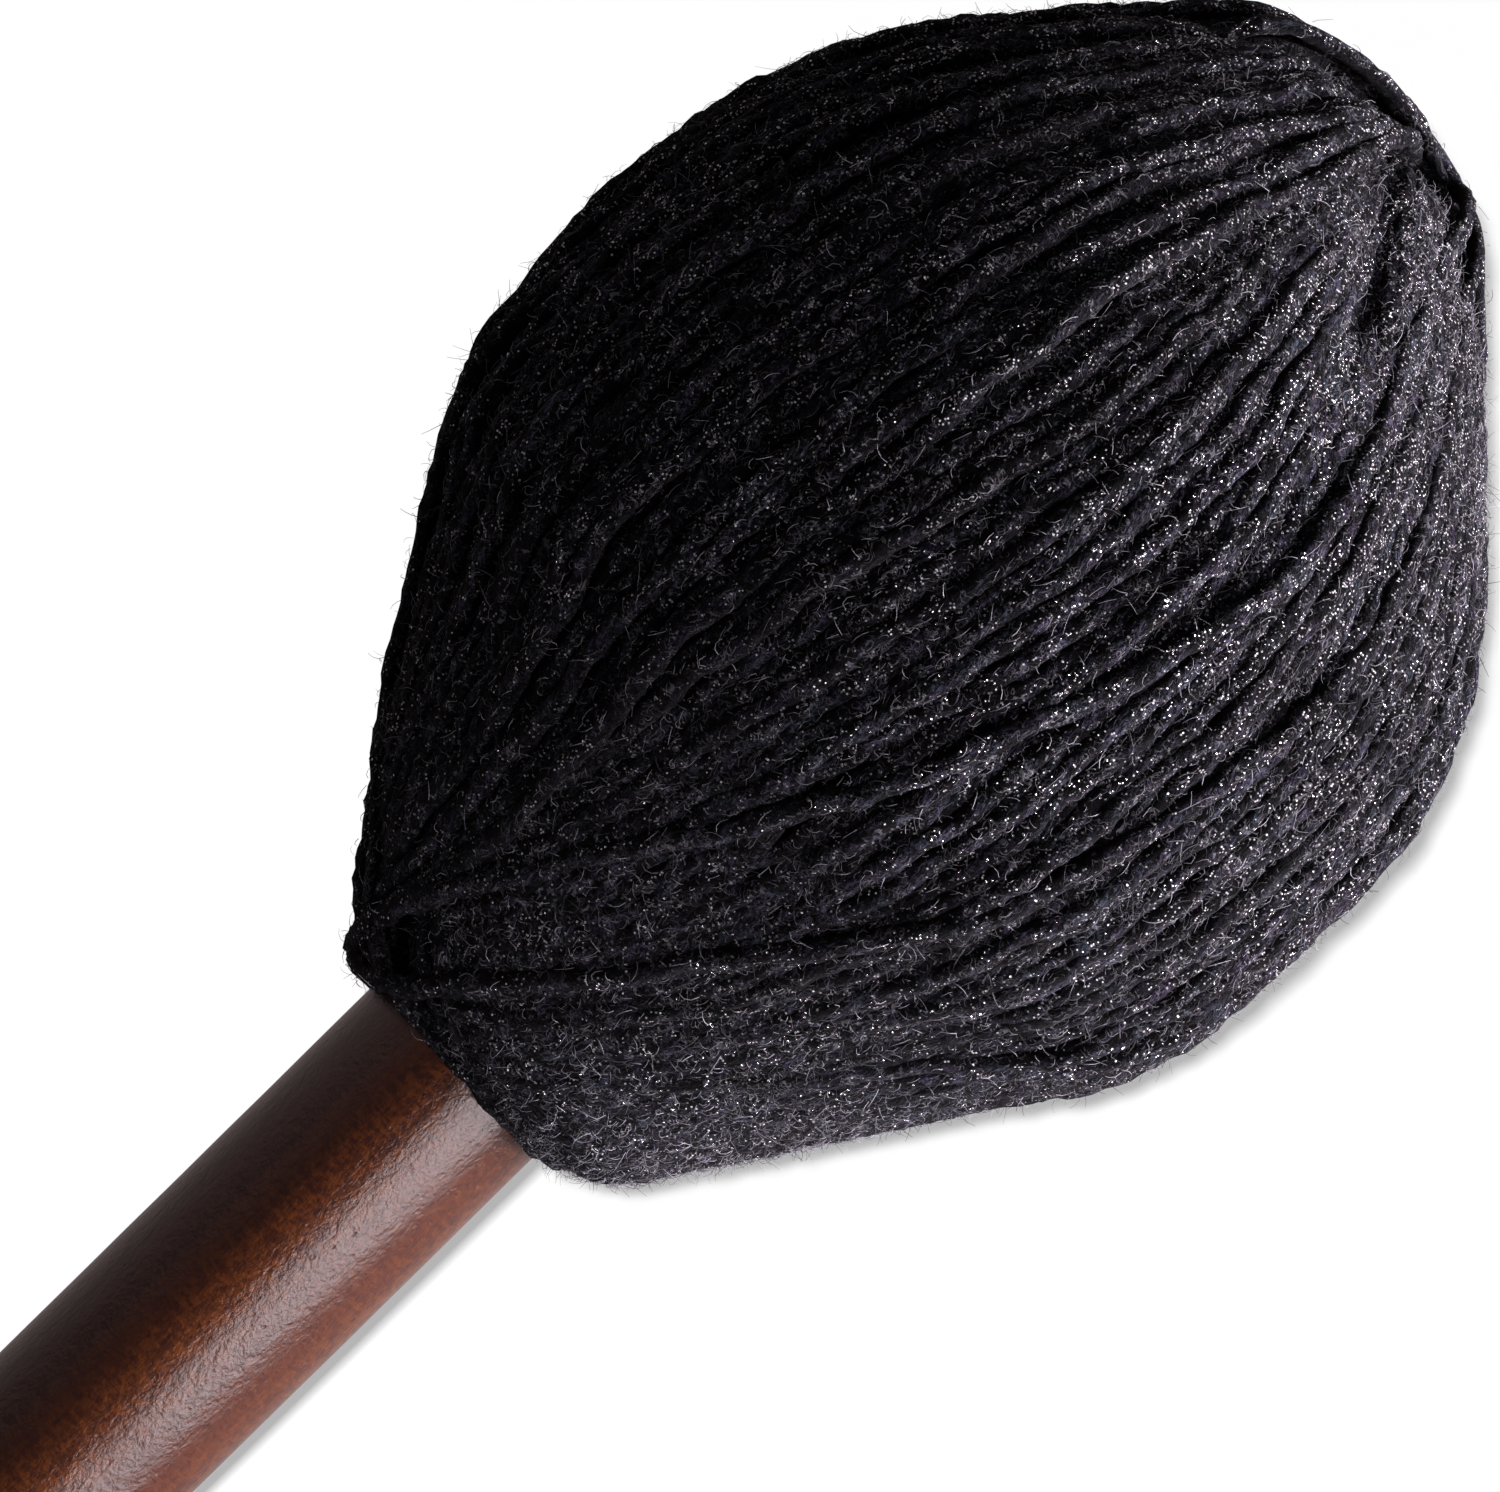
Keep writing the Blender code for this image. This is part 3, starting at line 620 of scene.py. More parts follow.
class TubeMesh:
    """Gathers closed tubes, each a row of rings with a point at either end, into one mesh."""

    # In its maps, a tip lies this far past the ring beside it, in millimetres.
    TIP = 0.6

    def __init__(self, name, sides):
        self.name = name
        self.sides = sides
        self.places, self.loops, self.totals = [], [], []
        self.strand, self.tape, self.tones = [], [], []
        self.count = 0
        self.length = 0.0
        self.share = np.arange(sides + 1) / sides

    def add(self, rings, tips, along, tone, girth):
        """rings has a row of points for each ring; along is the distance of each ring, in millimetres."""
        rows, sides = rings.shape[:2]
        loops, totals = tube_faces(rows, sides, self.count)
        self.places += [rings.reshape(-1, 3), tips]
        self.loops.append(loops)
        self.totals.append(totals)
        left, right = self.share[:-1], self.share[1:]
        start, end = np.repeat(along[:-1], sides), np.repeat(along[1:], sides)
        a, b = np.tile(left, rows - 1), np.tile(right, rows - 1)
        parts = [np.stack([start, a, start, b, end, b, end, a], -1)]
        for at, way, (a, b) in ((along[0], -self.TIP, (right, left)), (along[-1], self.TIP, (left, right))):
            tip, ring = np.full(sides, at + way), np.full(sides, at)
            parts.append(np.stack([tip, (a + b) / 2, ring, a, ring, b], -1))
        corners = np.concatenate([part.reshape(-1, 2) for part in parts])
        self.strand.append(corners)
        # Each face is kept whole when the tape is cut, so its corners share the place where the face starts.
        starts = np.repeat((*along[:-1], along[0], along[-2]), (4 * sides,) * (rows - 1) + (3 * sides,) * 2)
        moved = self.length - along[0] + self.TIP
        self.tape.append(np.stack([corners[:, 0] + moved, corners[:, 1] * girth, starts + moved], -1))
        self.tones.append(np.broadcast_to(tone, rows * sides + 2))
        self.length += along[-1] - along[0] + 2 * self.TIP
        self.count += rows * sides + 2

    def bake_map(self, girth):
        """Lays the tubes out as one long tape, cut into rows that fill a square."""
        tape = np.concatenate(self.tape)
        row_height = girth * 1.12
        width = math.sqrt(self.length * row_height)
        row = np.floor(tape[:, 2] / width)
        x = tape[:, 0] - row * width
        y = row * row_height + tape[:, 1]
        side = max(x.max(), y.max())
        return np.stack([x / side, y / side], -1).clip(0, 1)

    def build(self, finish, girth):
        places = rest_on_floor(np.concatenate(self.places))
        item = mesh_object(self.name, places, np.concatenate(self.loops), np.concatenate(self.totals), finish)
        add_map(item, "OFBake", self.bake_map(girth))
        add_map(item, "strand", np.concatenate(self.strand))
        add_tone(item, np.concatenate(self.tones))
        return item


def rounded(corners, roundings, steps):
    """An outline whose inner corners are rounded by smooth curves."""
    points = [np.array(corners[0])]
    for before, corner, after, (length_in, length_out) in zip(corners, corners[1:], corners[2:], roundings):
        corner = np.array(corner)
        to_before = np.array(before) - corner
        to_after = np.array(after) - corner
        start = corner + to_before * length_in / np.linalg.norm(to_before)
        end = corner + to_after * length_out / np.linalg.norm(to_after)
        for step in range(steps + 1):
            t = step / steps
            points.append(start * (1 - t) ** 2 + corner * 2 * t * (1 - t) + end * t * t)
    points.append(np.array(corners[-1]))
    return np.array(points)


def distances(points):
    """How far along a line each of its points is."""
    return np.concatenate(([0], np.cumsum(np.linalg.norm(np.diff(points, axis=0), axis=1))))


def unit(vectors):
    return vectors / np.linalg.norm(vectors, axis=1)[:, None]


def evened(points, step):
    """The same line with points at an even step, and the distance of each."""
    lengths = distances(points)
    run = np.linspace(0, lengths[-1], max(int(round(lengths[-1] / step)), 2) + 1)
    return run, np.stack([np.interp(run, lengths, column) for column in points.T], -1)


def smoothed(values, spread):
    """The values under a soft window that reaches spread places to either side."""
    weights = np.exp(-np.linspace(-2, 2, 2 * spread + 1) ** 2 / 2)
    return np.convolve(np.pad(values, spread, mode="edge"), weights / weights.sum(), mode="valid")


def smooth_step(value, low, high):
    share = np.clip((value - low) / (high - low), 0, 1)
    return share * share * (3 - 2 * share)


# The winding


class HeadSurface:
    """The head's outer shape. A place on it is told by its run, the distance along the outline from the
    handle, and its turn, the angle round the axis from the side that faces up."""

    def __init__(self, step):
        low_belly = (HEAD_RADIUS - BASE_RADIUS) / math.tan(CONE_ANGLE)
        high_belly = HEAD_LENGTH - (HEAD_RADIUS - CROWN_RADIUS) / math.tan(SHOULDER_ANGLE)
        corners = [(HANDLE_RADIUS, 0), (BASE_RADIUS, 0), (HEAD_RADIUS, low_belly), (HEAD_RADIUS, high_belly)]
        corners += [(CROWN_RADIUS, HEAD_LENGTH), (0, HEAD_LENGTH)]
        self.run, points = evened(rounded(corners, ROUNDINGS, 24), step)
        self.radius, self.height = points.T
        self.widening = np.gradient(self.radius, self.run)
        self.rising = np.gradient(self.height, self.run)

    def read(self, values, run):
        return np.interp(run, self.run, values)

    def place(self, run, turn):
        """Points on the surface and the directions out of it."""
        radius, height = self.read(self.radius, run), self.read(self.height, run)
        out, up = self.read(self.rising, run), -self.read(self.widening, run)
        size = np.hypot(out, up)
        out, up = out / size, up / size
        cosine, sine = np.cos(turn), np.sin(turn)
        places = np.stack([-radius * cosine, -radius * sine, HEAD_BASE + height], -1)
        return places, np.stack([-out * cosine, -out * sine, up], -1)


class Pile:
    """Remembers how high the yarn already lies, in small cells over the head: rows by run, and the cells of a
    row by turn. A row has as many cells as its girth needs."""

    SIZE = 0.45 * MM
    SIDES = np.linspace(-1, 1, 9)
    DOME = np.sqrt(1 - SIDES**2)
    MIDDLE = HEAD_BASE + 70 * MM

    def __init__(self, surface):
        self.surface = surface
        rows = int(surface.run[-1] / self.SIZE) + 1
        self.runs = (np.arange(rows) + 0.5) * self.SIZE
        radius = surface.read(surface.radius, self.runs)
        self.counts = np.maximum(np.ceil(2 * math.pi * radius / self.SIZE), 4).astype(int)
        self.starts = np.concatenate(([0], np.cumsum(self.counts)[:-1]))
        self.top = np.zeros(int(self.counts.sum()))
        self.firmness = 0.75 + 0.18 * smooth_step(radius, 20 * MM, 54 * MM)
        self.scale, self.shift = np.ones(rows), np.zeros(rows)
        self.slopes = np.arctan2(surface.height + HEAD_BASE - self.MIDDLE, surface.radius)

    def number(self, run, turn):
        row = np.clip((run / self.SIZE).astype(int), 0, len(self.counts) - 1)
        share = (turn / (2 * math.pi)) % 1.0
        return self.starts[row] + np.minimum((share * self.counts[row]).astype(int), self.counts[row] - 1)

    def cells(self, turn, reach):
        """The cells at nine places across a strand, at two places along each of its steps."""
        steps = turn["way"][:, None] * (np.array([-0.25, 0.25]) * STEP)[None, :, None]
        points = (turn["place"][:, None] + steps)[:, :, None]
        points = points + turn["across"][:, None, None] * (self.SIDES * reach)[None, None, :, None]
        x, y, z = np.moveaxis(points, -1, 0)
        slope = np.arctan2(z - self.MIDDLE, np.hypot(x, y))
        return self.number(np.interp(slope, self.slopes, self.surface.run), np.arctan2(-y, -x))

    def dome(self, reach, give):
        """How far a strand's surface is from its middle, at each place across it."""
        return self.DOME * reach * give[:, None]

    def rest(self, cells, reach, give):
        """The height at which a strand's middle would rest."""
        return (self.top[cells].max(axis=1) + self.dome(reach, give)).max(axis=1)

    def cover(self, cells, middle, reach, give):
        """How deep a strand lies under the yarn above it."""
        return (self.top[cells].max(axis=1) - middle[:, None] - self.dome(reach, give)).min(axis=1)

    def lay(self, cells, middle, reach, give):
        tops = middle[:, None] + self.dome(reach, give)
        tops = np.repeat(tops[:, None], cells.shape[1], axis=1)
        np.maximum.at(self.top, cells.ravel(), tops.ravel())

    def press(self):
        """The yarn beneath gives way: each row's mean goes to nothing, and what stands out is evened."""
        mean = smoothed(np.add.reduceat(self.top, self.starts) / self.counts, 10)
        self.top = (self.top - np.repeat(mean, self.counts)) * np.repeat(self.firmness, self.counts)
        self.scale, self.shift = self.scale * self.firmness, (self.shift - mean) * self.firmness

    def state(self):
        return self.scale, self.shift

    def now(self, heights, run, state):
        """What earlier heights have become since the pile was in an earlier state."""
        scale, shift = state
        share = np.interp(run, self.runs, self.scale / scale)
        return heights * share + np.interp(run, self.runs, self.shift - shift * self.scale / scale)


class Winding:
    """The yarn on the head: the path of each turn, how high it lies, and what of it shows."""

    # The fewest and the most turns in a bundle, and how many of them stray from it
    INNER_BUNDLES = (9, 14)
    OUTER_BUNDLES = (6, 13)
    STRAYS = 0.07
    # The yarn beneath gives way each time that so many turns are laid.
    PRESSED_AFTER = 5
    # A leg is followed for this many steps. Its lean can't show its end before the first few.
    LEG_STEPS = 460
    FIRST_STEPS = 40
    # Taut yarn bends no more than this over what it spans.
    SPAN_RADIUS = 11 * MM
    # The level: places round the head, the ranks of the usual and the high yarn, and how much bundles count
    COLUMNS = 240
    RANKS = (60, 84)
    EVENED = 0.75
    # What stands out by more than this is pressed in.
    PROUD = 0.8 * MM

    def __init__(self, settings):
        self.surface = HeadSurface(0.5 * MM)
        self.random = np.random.default_rng(settings.seed)
        self.reach = settings.strand / 2
        self.pile = Pile(self.surface)
        height = self.surface.height
        self.low_blend = smooth_step(height, 5 * MM, 46 * MM)
        self.high_blend = smooth_step(height, 94 * MM, 132 * MM)
        plan = self.plan(settings.inner_layers, *self.INNER_BUNDLES)
        plan += self.plan(settings.outer_layers, *self.OUTER_BUNDLES)
        self.turns = self.follow(plan)
        for number, turn in enumerate(self.turns):
            self.lay(turn)
            if (number + 1) % self.PRESSED_AFTER == 0:
                self.pile.press()
        self.find_level()
        for turn in self.turns:
            self.settle(turn)

    def near(self, value, spread):
        """The value and a small random change, whose spread is in millimetres."""
        return value + self.random.normal(0, spread) * MM

    def plan(self, layers, fewest, most):
        """Turns in bundles that lie side by side. A layer's bundles go round the head once, in mixed order.

        The turns of a bundle settle between each other where they crowd, so every third one is laid first.
        Each turn has its place round the head, how far from the axis it passes at the crown, how far each of
        its legs passes at the handle and at the belly, and how much each leg is off its place.
        """
        random = self.random
        pitch = 2.1 * self.reach / HEAD_RADIUS
        turns = []
        for _ in range(layers):
            strays = []
            start, count = random.uniform(0, math.pi), int(math.pi / pitch)
            edges = [0]
            while edges[-1] < count:
                edges.append(min(edges[-1] + int(random.integers(fewest, most + 1)), count))
            bundles = list(zip(edges, edges[1:]))
            random.shuffle(bundles)
            for first, last in bundles:
                belly = random.uniform(5.0, 12.5) * MM
                crown = random.uniform(3.5, 10.0) * MM
                grip = random.uniform(14.8, 16.8) * MM
                flip = math.pi * (random.random() < 0.35)
                bundle = []
                for place in range(first, last):
                    belly = np.clip(self.near(belly, 0.6), 3 * MM, 14 * MM)
                    crown = np.clip(self.near(crown, 0.8), 2.5 * MM, 12 * MM)
                    grip = np.clip(self.near(grip, 0.35), 14.3 * MM, 17.2 * MM)
                    where = start + flip + place * pitch
                    sides = [(self.near(grip, 0.2), self.near(belly, 0.3)) for _ in range(2)]
                    loose = random.normal(0, 0.07, 2) * pitch
                    if random.random() < self.STRAYS:
                        sides = [(grip, random.uniform(12, 21) * MM) for grip, _ in sides]
                        strays.append((where, crown, sides, loose))
                    else:
                        bundle.append((where, crown, sides, loose))
                turns += bundle[::3] + bundle[1::3] + bundle[2::3]
                turns += strays[:-2]
                strays = strays[-2:]
            turns += strays
        return turns

    def follow(self, plan):
        """Follows both legs of every turn from the handle to the crown, as a taut line on the surface.

        Taut yarn keeps how far from the axis it would pass, and friction lets that drift from grip to belly
        to crown. lean is the angle between the yarn and the way up the head.
        """
        surface = self.surface
        grip = np.array([side[0] for _, _, sides, _ in plan for side in sides])
        belly = np.array([side[1] for _, _, sides, _ in plan for side in sides])
        crown = np.repeat([crown for _, crown, _, _ in plan], 2)
        grip = np.maximum(grip, HANDLE_RADIUS + self.reach)
        low_change = np.gradient(self.low_blend, surface.run)
        high_change = np.gradient(self.high_blend, surface.run)
        rising = surface.radius[: int(surface.radius.argmax())]
        run = np.interp(grip, rising, surface.run[: len(rising)])
        turn, lean = np.zeros_like(run), np.full_like(run, math.pi / 2)

        def rates(run, lean):
            radius = np.maximum(surface.read(surface.radius, run), 0.5 * MM)
            low_drift = (belly - grip) * surface.read(low_change, run)
            drift = low_drift + (crown - belly) * surface.read(high_change, run)
            bend = (drift - surface.read(surface.widening, run) * np.sin(lean)) / radius
            return np.cos(lean), np.sin(lean) / radius, bend

        runs, turns, leans = [run], [turn], [lean]
        for _ in range(self.LEG_STEPS):
            first = rates(run, lean)
            middle = rates(run + first[0] * STEP / 2, lean + first[2] * STEP / 2)
            run, turn, lean = run + middle[0] * STEP, turn + middle[1] * STEP, lean + middle[2] * STEP
            runs.append(run)
            turns.append(turn)
            leans.append(lean)
        runs, turns, leans = (np.array(rows) for rows in (runs, turns, leans))
        past = (leans[self.FIRST_STEPS :] >= math.pi / 2).argmax(axis=0) + self.FIRST_STEPS
        belt = surface.run[surface.radius.argmax()]
        made = []
        for number, (where, _, _, loose) in enumerate(plan):
            legs = []
            for leg, slack in zip((2 * number, 2 * number + 1), loose):
                last = past[leg]
                # Below the head each leg goes on round the handle for a while and dives under the others.
                tail = self.random.uniform(0.6, 1.1)
                spare = np.arange(-int(tail / (STEP / grip[leg])), 0)
                back = turns[last, leg] - np.concatenate([spare * STEP / grip[leg], turns[: last + 1, leg]])
                ways = np.concatenate([np.full(len(spare), runs[0, leg]), runs[: last + 1, leg]])
                sunk = np.concatenate([-spare / len(spare), np.zeros(last + 1)])
                at_belt = np.interp(belt, ways[len(spare) :], back[len(spare) :])
                back += (HALF_TURN - at_belt + slack) * (1 - smooth_step(ways, belt, runs[last, leg]))
                back += self.wander(ways)
                legs.append((ways, back, sunk))
            run = np.concatenate([legs[0][0], legs[1][0][::-1]])
            turn = where + np.concatenate([-legs[0][1], legs[1][1][::-1]])
            sunk = np.concatenate([legs[0][2], legs[1][2][::-1]])
            made.append(self.even(run, turn, sunk))
        return made

    def wander(self, run):
        """Small slow bends, as yarn has that was never pulled quite straight."""
        long, short = self.random.uniform(0, 2 * math.pi, 2)
        bends = 0.40 * np.sin(run / (11 * MM) + long) + 0.30 * np.sin(run / (3.4 * MM) + short)
        return bends * MM / np.maximum(self.surface.read(self.surface.radius, run), 24 * MM)

    def even(self, run, turn, sunk):
        """Spaces a turn's points evenly and finds the directions at each."""
        places, _ = self.surface.place(run, turn)
        lengths = distances(places)
        along = np.arange(0, lengths[-1], STEP)
        run, turn, sunk = (np.interp(along, lengths, values) for values in (run, turn, sunk))
        places, normals = self.surface.place(run, turn)
        ways = unit(np.gradient(places, axis=0))
        radius = self.surface.read(self.surface.radius, run)
        give = 0.40 + 0.38 * smooth_step(radius, 18 * MM, 54 * MM)
        known = dict(run=run, turn=turn, sunk=sunk, along=along, give=give)
        return known | dict(place=places, normal=normals, way=ways, across=unit(np.cross(normals, ways)))

    def lay(self, turn):
        """Lays one turn on what is there already. Taut yarn spans the hollows beside a crossing."""
        pile, soft = self.pile, self.reach * 0.8
        near = pile.cells(turn, soft)
        rest = pile.rest(near, soft, turn["give"])
        apart = turn["along"][:, None] - turn["along"][None, :]
        middle = smoothed((rest[None, :] - apart**2 / (2 * self.SPAN_RADIUS)).max(axis=1), 4)
        turn["cells"] = pile.cells(turn, self.reach)
        turn["middle"] = middle
        turn["state"] = pile.state()
        kept = turn["sunk"] < 0.1
        pile.lay(turn["cells"][kept], middle[kept], self.reach, turn["give"][kept])

    def find_level(self):
        """How high the yarn lies at each place, so that the wound head can be brought to its outline.

        The level is one height for each run, and most of what whole bundles stand out by is added to it.
        """
        run = self.surface.run
        turns = np.linspace(0, 2 * math.pi, self.COLUMNS, endpoint=False)
        tops = self.sample(self.pile.top, run, turns)
        usual, high = (smoothed(np.percentile(tops, rank, axis=1), 12) for rank in self.RANKS)
        level = usual + (high - usual) * smooth_step(self.surface.radius, 22 * MM, 48 * MM)
        weights = {shift: math.exp(-((shift / 5) ** 2) / 2) for shift in range(-11, 12)}
        local = sum(np.roll(tops, shift, axis=1) * weight for shift, weight in weights.items())
        local = np.stack([smoothed(column, 20) for column in local.T], -1)
        local *= tops.mean() / local.mean()
        self.level = level[:, None] + self.EVENED * (local - local.mean(axis=1)[:, None])

    def level_at(self, run, turn):
        """The level at any place, read between the nearest four of the known ones."""
        row = np.clip(run / self.surface.run[1], 0, len(self.level) - 1.001)
        column = turn / (2 * math.pi) % 1.0 * self.COLUMNS
        top, left = row.astype(int), column.astype(int) % self.COLUMNS
        down, along = row - top, column % 1.0
        right = (left + 1) % self.COLUMNS
        upper = self.level[top, left] * (1 - along) + self.level[top, right] * along
        lower = self.level[top + 1, left] * (1 - along) + self.level[top + 1, right] * along
        return upper * (1 - down) + lower * down

    def sample(self, top, run, turns):
        """The height of the yarn at a grid of places."""
        run_grid, turn_grid = np.meshgrid(run, turns, indexing="ij")
        return top[self.pile.number(run_grid, turn_grid)]

    def settle(self, turn):
        """Puts a turn in its final place and notes how deep it lies under others."""
        level = self.level_at(turn["run"], turn["turn"])
        turn["middle"] = self.pile.now(turn["middle"], turn["run"], turn["state"])
        turn["cover"] = self.pile.cover(turn["cells"], turn["middle"], self.reach, turn["give"])
        proud = turn["middle"] + turn["give"] * self.reach - level
        proud = np.minimum(proud, self.PROUD + 0.35 * (proud - self.PROUD))
        lift = proud - self.reach * flattened(turn["give"])
        lift -= smooth_step(turn["sunk"], 0.15, 1.0) * 5 * MM
        turn["centre"] = lean_crown(turn["place"] + turn["normal"] * lift[:, None])


def flattened(give):
    """How flat a strand is pressed where the yarn crowds at base and crown: 1 where it stays round."""
    return 0.80 + 0.16 * smooth_step(give, 0.42, 0.7)


def lean_crown(places):
    """Makes the wound head a little lopsided: its crown leans to one side, and its base is slanted."""
    height = places[..., 2] - HEAD_BASE
    moved = places.copy()
    moved[..., 1] += CROWN_SHIFT * smooth_step(height, 86 * MM, 158 * MM)
    base = 1 - smooth_step(height, 0, 25 * MM)
    moved[..., 2] += (BASE_SLANT * places[..., 1] + BASE_SHIFT) * base
    moved[..., 2] -= CROWN_DROP * smooth_step(height, 128 * MM, 146 * MM)
    return gather_crown(moved)


def gather_crown(places):
    """Pulls the yarn in along the dimple below the crown, on the side that faces up."""
    (top, top_side, shallow), (low, low_side, deep) = DIMPLE
    height, side = places[..., 2] - HEAD_BASE - top, places[..., 1] - top_side
    way = np.array([low - top, low_side - top_side])
    share = np.clip((height * way[0] + side * way[1]) / (way @ way), 0, 1)
    apart = np.hypot(height - share * way[0], side - share * way[1])
    depth = (shallow + (deep - shallow) * share) * np.exp(-((apart / DIMPLE_WIDTH) ** 2))
    moved = places.copy()
    moved[..., 0] += depth * smooth_step(-places[..., 0], 0, 8 * MM)
    return moved


@cache
def winding():
    return Winding(bpy.context.scene.mallet_yarn)


def shown_stretches(turn, reach):
    """Index ranges of a turn that show, with short gaps closed and a little spare at either end."""
    shown = turn["cover"] < 0.6 * reach * turn["give"]
    shown &= turn["sunk"] < 0.95
    marks = np.convolve(shown, np.ones(21), mode="same") > 0
    edges = np.flatnonzero(np.diff(np.concatenate(([0], marks.astype(int), [0]))))
    return [(a, b) for a, b in zip(edges[::2], edges[1::2]) if b - a > 24]


def strand_rings(turn, first, last, reach, sides, random, skip):
    """Rings round one stretch of yarn, with its lumps and twisted plies, and its tone, with painted shade on
    its sides and tips.
    """
    pick = np.arange(first, last, skip)
    centre, normal, across = turn["centre"][pick], turn["normal"][pick], turn["across"][pick]
    along = turn["along"][pick] / MM
    angle = np.arange(sides) / sides * 2 * math.pi
    phase = random.uniform(0, 2 * math.pi)
    lumps = 1 + 0.05 * np.sin(along / 2.3 + phase) + 0.04 * np.sin(along / 5.1 + 2 * phase)
    ends = smooth_step(np.minimum(np.arange(len(pick)), np.arange(len(pick))[::-1]) + 0.6, -0.6, 3)
    size = reach * lumps * (0.3 + 0.7 * ends)
    ply = 1 + 0.09 * np.cos(2 * angle[None, :] + 2 * math.pi * along[:, None] / 9 + phase)
    ply += random.normal(0, 0.09, ply.shape)
    flat = flattened(turn["give"][pick])
    wide = (np.cos(angle)[None, :] * ply * (size * (1.24 - 0.2 * flat))[:, None])[..., None] * across[:, None]
    tall = (np.sin(angle)[None, :] * ply * (size * flat)[:, None])[..., None] * normal[:, None]
    sway = 0.10 * np.sin(along / 1.3 + 5 * phase) + 0.12 * np.sin(along / 2.1 + 3 * phase)
    centre = centre + across * sway[:, None] * MM + normal * random.normal(0, 0.06, (len(pick), 1)) * MM
    rings = centre[:, None] + wide + tall
    ways = unit(centre[[0, -1]] - centre[[1, -2]])
    tips = centre[[0, -1]] + ways * size[0] * 0.8
    # Painted shade: the sides and underside of the strand, and its two tips, get a darker tone.
    side_shade = 0.07 + 0.93 * smooth_step(np.sin(angle), -0.15, 0.95)
    shade = np.concatenate([np.tile(side_shade, len(pick)), (0.3, 0.3)])
    return rings, tips, along, shade


class MALLET_OT_winding(bpy.types.Operator):
    """Winds the outer yarn over the head"""

    bl_idname = "mallet.winding"
    bl_label = "Outer yarn"

    def execute(self, context):
        settings = context.scene.mallet_yarn
        wound = winding()
        random = np.random.default_rng(settings.seed + 1)
        girth = 2 * math.pi * wound.reach / MM
        sides, skip = 8, 2
        stretches = [(turn, *ends) for turn in wound.turns for ends in shown_stretches(turn, wound.reach)]
        faces = np.cumsum([2 * sides * (last - first) / skip for _, first, last in stretches])
        pieces = math.ceil(faces[-1] / PIECE_FACES)
        owner = np.minimum((faces * pieces / faces[-1]).astype(int), pieces - 1)
        for number in range(pieces):
            tubes = TubeMesh(f"yarn_turns_{number + 1}", sides)
            for turn, first, last in (stretches[index] for index in np.flatnonzero(owner == number)):
                rings, tips, along, shade = strand_rings(turn, first, last, wound.reach, sides, random, skip)
                # Each strand's random tone, times the painted shade on its sides.
                tubes.add(rings, tips, along, shade * (0.34 + random.random() ** 1.8), girth)
            declare(tubes.build(charcoal_yarn(), girth), "charcoal_yarn", "yarn_winding")
        print(f"Outer yarn: {len(stretches)} stretches, {int(faces[-1])} triangles, {pieces} pieces")
        return {"FINISHED"}


class MALLET_OT_body(bpy.types.Operator):
    """Makes the inner yarn, whose surface shows between the outer strands"""

    bl_idname = "mallet.body"
    bl_label = "Inner yarn"

    def execute(self, context):
        wound = winding()
        surface = wound.surface
        run = np.arange(2.5 * MM, surface.run[-1] - 0.5 * MM, 1.1 * MM)
        turns = np.linspace(0, 2 * math.pi, 256, endpoint=False)
        run_grid, turn_grid = np.meshgrid(run, turns, indexing="ij")
        lift = wound.sample(wound.pile.top, run, turns) - wound.level_at(run_grid, turn_grid)
        for axis in (0, 1):
            lift = np.minimum(lift, np.minimum(np.roll(lift, 1, axis), np.roll(lift, -1, axis)))
        sunk = 1.15 * wound.reach
        lift = np.clip(lift - sunk, -8 * MM, -sunk)
        places, normals = surface.place(run_grid.ravel(), turn_grid.ravel())
        outer = lean_crown(places + normals * lift.reshape(-1, 1)).reshape(len(run), len(turns), 3)
        item = grid_solid("yarn_inner", outer, charcoal_yarn())
        declare(item, "charcoal_yarn", "yarn_body")
        return {"FINISHED"}


def grid_solid(name, outer, finish):
    """A closed solid between a grid of outer places and the same grid moved in towards the core."""
    rows, columns = outer.shape[:2]
    height = outer[..., 2] - HEAD_BASE
    radius = np.hypot(outer[..., 0], outer[..., 1])
    depth = np.minimum(9 * MM, 0.45 * radius)
    inward = outer.copy()
    share = 1 - depth / np.maximum(radius, 1 * MM)
    inward[..., 0] *= share
    inward[..., 1] *= share
    middle = HEAD_LENGTH * 0.5
    inward[..., 2] = HEAD_BASE + height + (middle - height) * 0.12
    places = np.concatenate([outer.reshape(-1, 3), inward.reshape(-1, 3)])
    index = np.arange(rows * columns).reshape(rows, columns)
    right = np.roll(index, -1, axis=1)
    offset = rows * columns
    out_quads = np.stack([index[:-1], index[1:], right[1:], right[:-1]], -1).reshape(-1, 4)
    in_quads = out_quads[:, ::-1] + offset
    low = np.stack([index[0], right[0], right[0] + offset, index[0] + offset], -1)
    high = np.stack([right[-1], index[-1], index[-1] + offset, right[-1] + offset], -1)
    quads = np.concatenate([out_quads, in_quads, low, high])
    item = mesh_object(name, places, quads.ravel(), np.full(len(quads), 4), finish)
    corners = np.zeros((len(quads) * 4, 2))
    around = (quads % columns) / columns
    along = (quads % offset) // columns
    wrap = (around.max(axis=1) - around.min(axis=1) > 0.5)[:, None] & (around < 0.5)
    corners[:, 0] = (around + wrap).ravel() * 40
    corners[:, 1] = along.ravel() / 8
    add_map(item, "strand", corners)
    # Painted shade: the inner yarn shows only between the outer strands, so it gets a dark tone.
    add_tone(item, np.full(len(places), 0.12))
    return item


